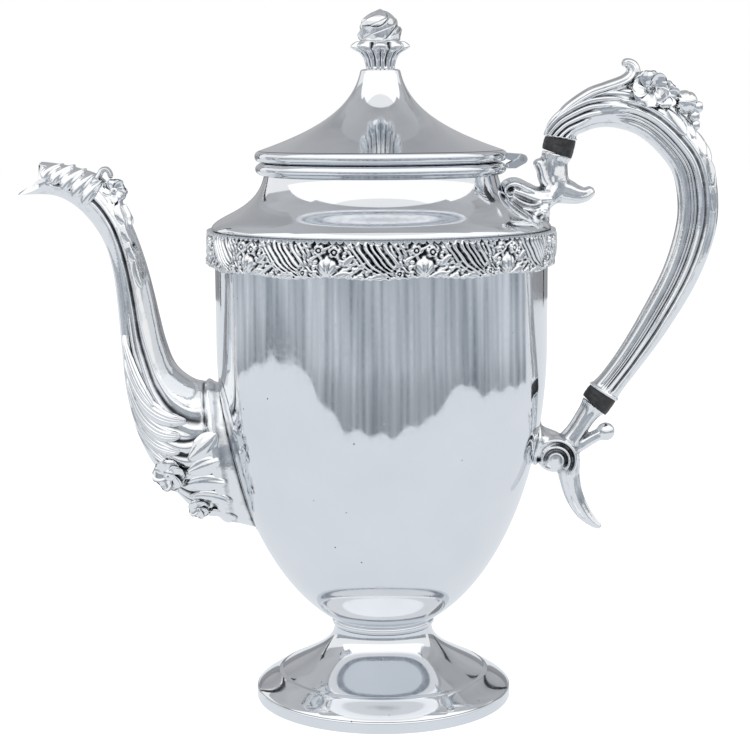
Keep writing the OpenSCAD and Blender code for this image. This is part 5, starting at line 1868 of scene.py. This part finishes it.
@dataclass
class Hinge(SubAssembly):
    """The two leaves of the hinge, with the knuckles round the pin."""

    lid: Lid = field(default_factory=Lid)
    out: float = 9.0
    knuckle_r: float = 1.9
    lid_w: float = 4.4
    body_w: float = 3.2
    gap: float = 0.3

    def plate(self, outline: Array, y0: float, y1: float, round_off: float = 0.35) -> Array:
        """A plate of an outline in (x, z) between two places along Y, with its rims rounded off.

        Args:
            outline: the plate's outline.
            y0: where it starts along Y.
            y1: where it ends.
            round_off: how far its rims are rounded.

        Returns:
            A grid of four outlines.
        """
        middle = outline.mean(0)
        shrink = 1 - round_off / np.linalg.norm(outline - middle, axis=1).max()
        rows = []
        for y, scale in ((y0, shrink), (y0 + round_off, 1.0), (y1 - round_off, 1.0), (y1, shrink)):
            line = middle + (outline - middle) * scale
            rows.append(np.column_stack([line[:, 0], np.full(len(line), y), line[:, 1]]))
        return np.stack(rows)

    def build(self) -> None:
        """Makes the leaf that is soldered to the mouth and the one on the lid."""
        pin_x = self.lid.shoulder.mouth_r + self.out
        pin_z = self.lid.low_z + 0.5
        half = self.lid_w / 2
        outer = half + self.gap + self.body_w
        a = np.linspace(-0.5 * np.pi, 0.5 * np.pi, 14)
        edge = self.lid.shoulder.mouth_r + self.lid.shoulder.bead_out
        start = edge + SOLDER + 0.1
        tab_z = self.lid.low_z + 0.1
        nose = np.column_stack([pin_x + self.knuckle_r * np.cos(a), pin_z + self.knuckle_r * np.sin(a)])
        tab = np.vstack([[[edge - 1.4, tab_z + 0.9]], nose, [[edge - 1.4, tab_z + 2.9]]])
        lid_side = SubAssembly()
        lid_side.body = Body.LID
        lid_side.place(Skin().grid(self.plate(tab, -half, half)), "lid_hinge_tab", SPUN, Slot.SILVER,
                       ["hinge_lid_leaf"], 35)
        skin = Skin()
        low_z = self.lid.shoulder.rim_top_z - 2.6
        turn = np.linspace(-0.9, 1.9, 14)
        arm = np.vstack([
            [[start, low_z]], [[pin_x - self.knuckle_r - 0.5, low_z]],
            np.column_stack([pin_x + self.knuckle_r * np.cos(turn), pin_z + self.knuckle_r * np.sin(turn)]),
            [[pin_x - self.knuckle_r * 0.9, pin_z + 0.2]], [[start, low_z + 1.6]]])
        for side in (-1, 1):
            near, far = side * (half + self.gap), side * outer - side * SOLDER
            skin.grid(self.plate(arm, min(near, far), max(near, far)))
        bridge = rounded([[start, low_z + 0.07], [pin_x - self.knuckle_r - 0.6, low_z + 0.07],
                          [pin_x - self.knuckle_r - 0.6, low_z + 1.5], [start, low_z + 1.5]], 0.4)
        skin.grid(self.plate(bridge, 0.4 - outer, outer - 0.4))
        self.place(skin, "body_hinge_leaf", SPUN, Slot.SILVER, ["hinge_body_leaf"], 35)


# ---- carried-over nodes, stage and camera --------------------------------------------------


@dataclass
class Fittings:
    """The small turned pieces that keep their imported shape."""

    nodes: tuple[str, ...] = ("handle_tangs", "insulator_pins", "hinge_pin", "finial_stud", "finial_washer",
                              "finial_nut")

    def dress(self, packed: dict[str, bpy.types.Object]) -> None:
        """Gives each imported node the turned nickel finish.

        Args:
            packed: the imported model's nodes by name.
        """
        for name in self.nodes:
            piece = packed[name]
            piece.data.materials.clear()
            piece.data.materials.append(NICKEL.material())
            LOG.info("%s: packed shape, %s", name, NICKEL.name)


@dataclass(frozen=True)
class CardPaint(Finish):
    """A studio card that shows in reflections only, with streaks along its second UV axis."""

    light: str = "#C6CCD4"
    shade: str = "#8E959E"
    streaks: float = 18.0
    strength: float = 1.0
    near: float = 1.0

    def fill(self, tree: bpy.types.NodeTree) -> None:
        """Emission mixed by broad and fine noise that is stretched along the card.

        Its strength rises from the share near at the card's first rows to the whole.

        Args:
            tree: the empty node tree.
        """
        place = add_node(tree, "UVMap", uv_map="card").outputs[0]
        levels = []
        for share in (1.0, 0.12):
            stretch = add_node(tree, "Mapping", {"Vector": place, "Scale": (self.streaks * share, 0.7, 1.0)})
            noise = add_node(tree, "TexNoise", {"Vector": stretch, "Scale": 1.0, "Detail": 5.0})
            levels.append(noise.outputs["Fac"])
        both = add_node(tree, "Math", {0: levels[0], 1: levels[1]}, operation="ADD")
        level = add_node(tree, "MapRange", {"Value": both, "From Min": 0.78, "From Max": 1.22})
        tint = add_node(
            tree, "Mix", {0: level, 6: linear_rgb(self.light), 7: linear_rgb(self.shade)}, data_type="RGBA")
        along = add_node(tree, "SeparateXYZ", {0: place})
        rise = add_node(tree, "MapRange", {
            "Value": along.outputs["Y"], "From Max": 0.3, "To Min": self.near * self.strength,
            "To Max": self.strength})
        glow = add_node(tree, "Emission", {"Color": tint.outputs[2], "Strength": rise})
        add_node(tree, "OutputMaterial", {"Surface": glow})


@dataclass(frozen=True)
class FloorPaper(Finish):
    """Seamless white paper: it keeps the shadow for the camera, and is plain pale in reflections."""

    colour: str = "#959595"
    mirrored: str = "#EAEEF2"
    glow: float = 0.88

    def fill(self, tree: bpy.types.NodeTree) -> None:
        """Diffuse paper that also glows, so that it stays white, and a pale glow for glossy rays.

        Args:
            tree: the empty node tree.
        """
        ray = add_node(tree, "LightPath")
        paper = add_node(tree, "BsdfDiffuse", {"Color": linear_rgb(self.colour)})
        white = add_node(tree, "Emission", {"Color": linear_rgb("#FFFFFF"), "Strength": self.glow})
        seen = add_node(tree, "AddShader", {0: paper, 1: white})
        pale = add_node(tree, "Emission", {"Color": linear_rgb(self.mirrored), "Strength": 1.0})
        both = add_node(tree, "MixShader", {0: ray.outputs["Is Glossy Ray"], 1: seen, 2: pale})
        add_node(tree, "OutputMaterial", {"Surface": both})


@dataclass
class Studio:
    """The floor, the cards that the silver mirrors, the lamps, the sky and the camera."""

    lens: float = 85.68
    camera_at: tuple[float, float, float] = (-0.00209, -0.6848, 0.22981)
    tilt: float = 0.1484
    roll: float = 0.0056
    front_arc: tuple[float, float] = (-218.0, 24.0)
    back_arc: tuple[float, float] = (33.0, 123.0)
    front_r: float = 2600.0
    back_r: float = 1500.0
    edge_r: float = 1450.0
    window_r: float = 1800.0
    ceiling_z: float = 1700.0
    skirting_z: float = 260.0
    table_angles: tuple[float, ...] = (-218, -206, -170, -145, -133, -115, -84, -56, -37, -21, 24)
    table_edges: tuple[float, ...] = (690, 706, 1038, 980, 520, 330, 300, 390, 660, 530, 650)

    def card(self, name: str, points: Array, paint: CardPaint) -> None:
        """Adds a card that only reflections show.

        Args:
            name: the card's name.
            points: its grid of points in millimetres.
            paint: what it shows.
        """
        rows, cols = points.shape[:2]
        index = np.arange(rows * cols).reshape(rows, cols)
        quads = np.stack([index[:-1, :-1], index[:-1, 1:], index[1:, 1:], index[1:, :-1]], -1).reshape(-1, 4)
        mesh = bpy.data.meshes.new(name)
        mesh.from_pydata((points.reshape(-1, 3) * MM).tolist(), [], quads.tolist())
        layer = mesh.uv_layers.new(name="card")
        corners = np.stack([(quads % cols) / (cols - 1), (quads // cols) / (rows - 1)], -1)
        layer.data.foreach_set("uv", corners.astype(np.float32).ravel())
        mesh.materials.append(paint.material())
        card = bpy.data.objects.new(name, mesh)
        show(card)
        card.visible_camera = False
        card.visible_diffuse = False
        card.visible_shadow = False

    def cards(self) -> None:
        """The grey table and wall in front, the window over them, the ceiling and the walls behind."""
        a = np.radians(np.linspace(*self.front_arc, 180))[None, :]
        share = np.linspace(0, 1, 24)[:, None]
        near = np.interp(np.degrees(a), self.table_angles, self.table_edges) * (1 + 0.03 * np.sin(23 * a))
        r = near + (self.front_r - near) * share
        self.card("front_table", np.stack([r * np.cos(a), r * np.sin(a), 1.5 + 0 * r], -1),
                  CardPaint("grey_table_card", "#DDE2E8", "#8A929B", 60.0, near=0.72))
        self.card("front_wall", self.arc_wall(self.front_r, *self.front_arc, 0, 420),
                  CardPaint("grey_wall_card", "#B4BAC2", "#8A9098", 30.0))
        rise = np.radians(np.linspace(20, 68, 16))[:, None]
        a = np.radians(np.linspace(-195, 15, 60))[None, :]
        dome = self.window_r * np.stack([
            np.cos(rise) * np.cos(a), np.cos(rise) * np.sin(a), np.sin(rise) + 0 * a], -1)
        self.card("window", dome + [0, 0, 230], CardPaint("window_card", "#FFFFFF", "#FFFFFF", 1.0, 1.3))
        x = np.linspace(-self.front_r, self.front_r, 12)[None, :]
        y = np.linspace(60, 3000, 12)[:, None]
        self.card("ceiling", np.stack([x + 0 * y, y + 0 * x, self.ceiling_z + 0 * x + 0 * y], -1),
                  CardPaint("ceiling_card", "#C9CACD", "#A2A4A7", 3.0))
        self.card("back_wall", self.arc_wall(self.back_r, *self.back_arc, self.skirting_z, self.ceiling_z),
                  CardPaint("back_wall_card", "#BFC0C2", "#9FA0A3", 6.0))
        self.card("back_skirting", self.arc_wall(self.back_r, *self.back_arc, 0, self.skirting_z),
                  CardPaint("skirting_card", "#A3A4A7", "#86888B", 9.0))
        for name, start in (("left", 124), ("right", 55)):
            self.card(f"dark_edge_{name}", self.arc_wall(self.edge_r, start, start + 3, 0, 900),
                      CardPaint("dark_edge_card", "#3A3D42", "#2C2F33", 6.0))

    def arc_wall(self, radius: float, start: float, end: float, low: float, high: float) -> Array:
        """Points of an upright wall along an arc about the Z axis.

        Args:
            radius: the arc's radius in millimetres.
            start: its first angle in degrees from the X axis.
            end: its last angle.
            low: the wall's lower edge in millimetres.
            high: its upper edge.

        Returns:
            A grid of points with 16 rows.
        """
        a = np.radians(np.linspace(start, end, 60))[None, :]
        z = np.linspace(low, high, 16)[:, None]
        return np.stack([radius * np.cos(a) + 0 * z, radius * np.sin(a) + 0 * z, z + 0 * a], -1)

    def floor(self) -> None:
        """The white floor."""
        skin = Skin()
        a = circle(64)[None, :]
        r = np.array([[50.0], [400.0], [6000.0], [6000.0]])
        z = np.array([[-0.05], [-0.05], [-0.05], [-20.0]])
        skin.grid(np.stack([r * np.cos(a), r * np.sin(a), z + 0 * a], -1))
        paper = skin.build("floor_paper")
        paper.data.materials.append(FloorPaper("seamless_white_paper").material())

    def lamps(self) -> None:
        """A broad soft lamp overhead and a weaker one in front."""
        for name, at, aim, size, power in (
            ("top_softbox", (0.3, -0.5, 1.6), (0.0, 0.0, 0.1), 1.4, 22.0),
            ("front_fill", (-1.2, -1.4, 0.9), (0.0, 0.0, 0.12), 1.0, 9.0)):
            lamp = bpy.data.lights.new(name, "AREA")
            lamp.size = size
            lamp.energy = power
            holder = bpy.data.objects.new(name, lamp)
            holder.location = at
            way = np.array(aim) - np.array(at)
            yaw = math.atan2(way[0], -way[1])
            holder.rotation_euler = (math.atan2(math.hypot(way[0], way[1]), -way[2]), 0.0, yaw + math.pi)
            holder.visible_glossy = False
            show(holder)

    def sky(self) -> None:
        """A world that is white behind the object and in its reflections, and soft grey as light."""
        world = bpy.data.worlds.new("studio_sky")
        world.use_nodes = True
        tree = world.node_tree
        tree.nodes.clear()
        ray = add_node(tree, "LightPath")
        first = add_node(tree, "Math", {0: ray.outputs["Is Camera Ray"], 1: ray.outputs["Is Glossy Ray"]},
                         operation="MAXIMUM")
        shown = add_node(
            tree, "Math", {0: first, 1: ray.outputs["Is Transmission Ray"]}, operation="MAXIMUM")
        soft = add_node(tree, "Background", {"Color": linear_rgb("#E6E9ED"), "Strength": 0.7})
        white = add_node(tree, "Background", {"Color": linear_rgb("#FFFFFF"), "Strength": 1.0})
        both = add_node(tree, "MixShader", {0: shown, 1: soft, 2: white})
        add_node(tree, "OutputWorld", {"Surface": both})
        bpy.context.scene.world = world

    def camera(self) -> None:
        """The camera, tilted down and rolled a little."""
        data = bpy.data.cameras.new("product_camera")
        data.lens = self.lens
        data.sensor_width = 36.0
        data.clip_start = 0.01
        camera = bpy.data.objects.new("product_camera", data)
        camera.location = self.camera_at
        camera.rotation_mode = "XYZ"
        camera.rotation_euler = (math.pi / 2 - self.tilt, self.roll, 0.0)
        show(camera)
        bpy.context.scene.camera = camera

    def build(self) -> None:
        """Sets the whole stage."""
        self.camera()
        self.sky()
        self.floor()
        self.cards()
        self.lamps()
        bpy.context.scene.view_settings.view_transform = "Standard"


def main() -> None:
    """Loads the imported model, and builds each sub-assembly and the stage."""
    logging.basicConfig(level=logging.INFO, format="%(name)s %(message)s")
    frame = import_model()
    Studio().build()
    bowl = Bowl()
    shoulder = Shoulder(bowl=bowl)
    lid = Lid(shoulder=shoulder)
    spout = Spout(bowl=bowl)
    handle = Handle(bowl=bowl, mouth_r=shoulder.mouth_r, mouth_z=shoulder.mouth_z)
    bowl.build(float(mix(spout.foot_z, spout.root_top_z, 0.52)))
    Foot().build(bowl)
    Border(inner_r=bowl.radius + SOLDER, top_z=bowl.top_z - SOLDER).build()
    shoulder.build()
    lid.build()
    Finial(lid=lid).build()
    spout.build()
    handle.build()
    Sockets(handle=handle, shoulder=shoulder).build()
    Hinge(lid=lid).build()
    Fittings().dress(frame["nodes"])


if __name__ == "__main__":
    main()
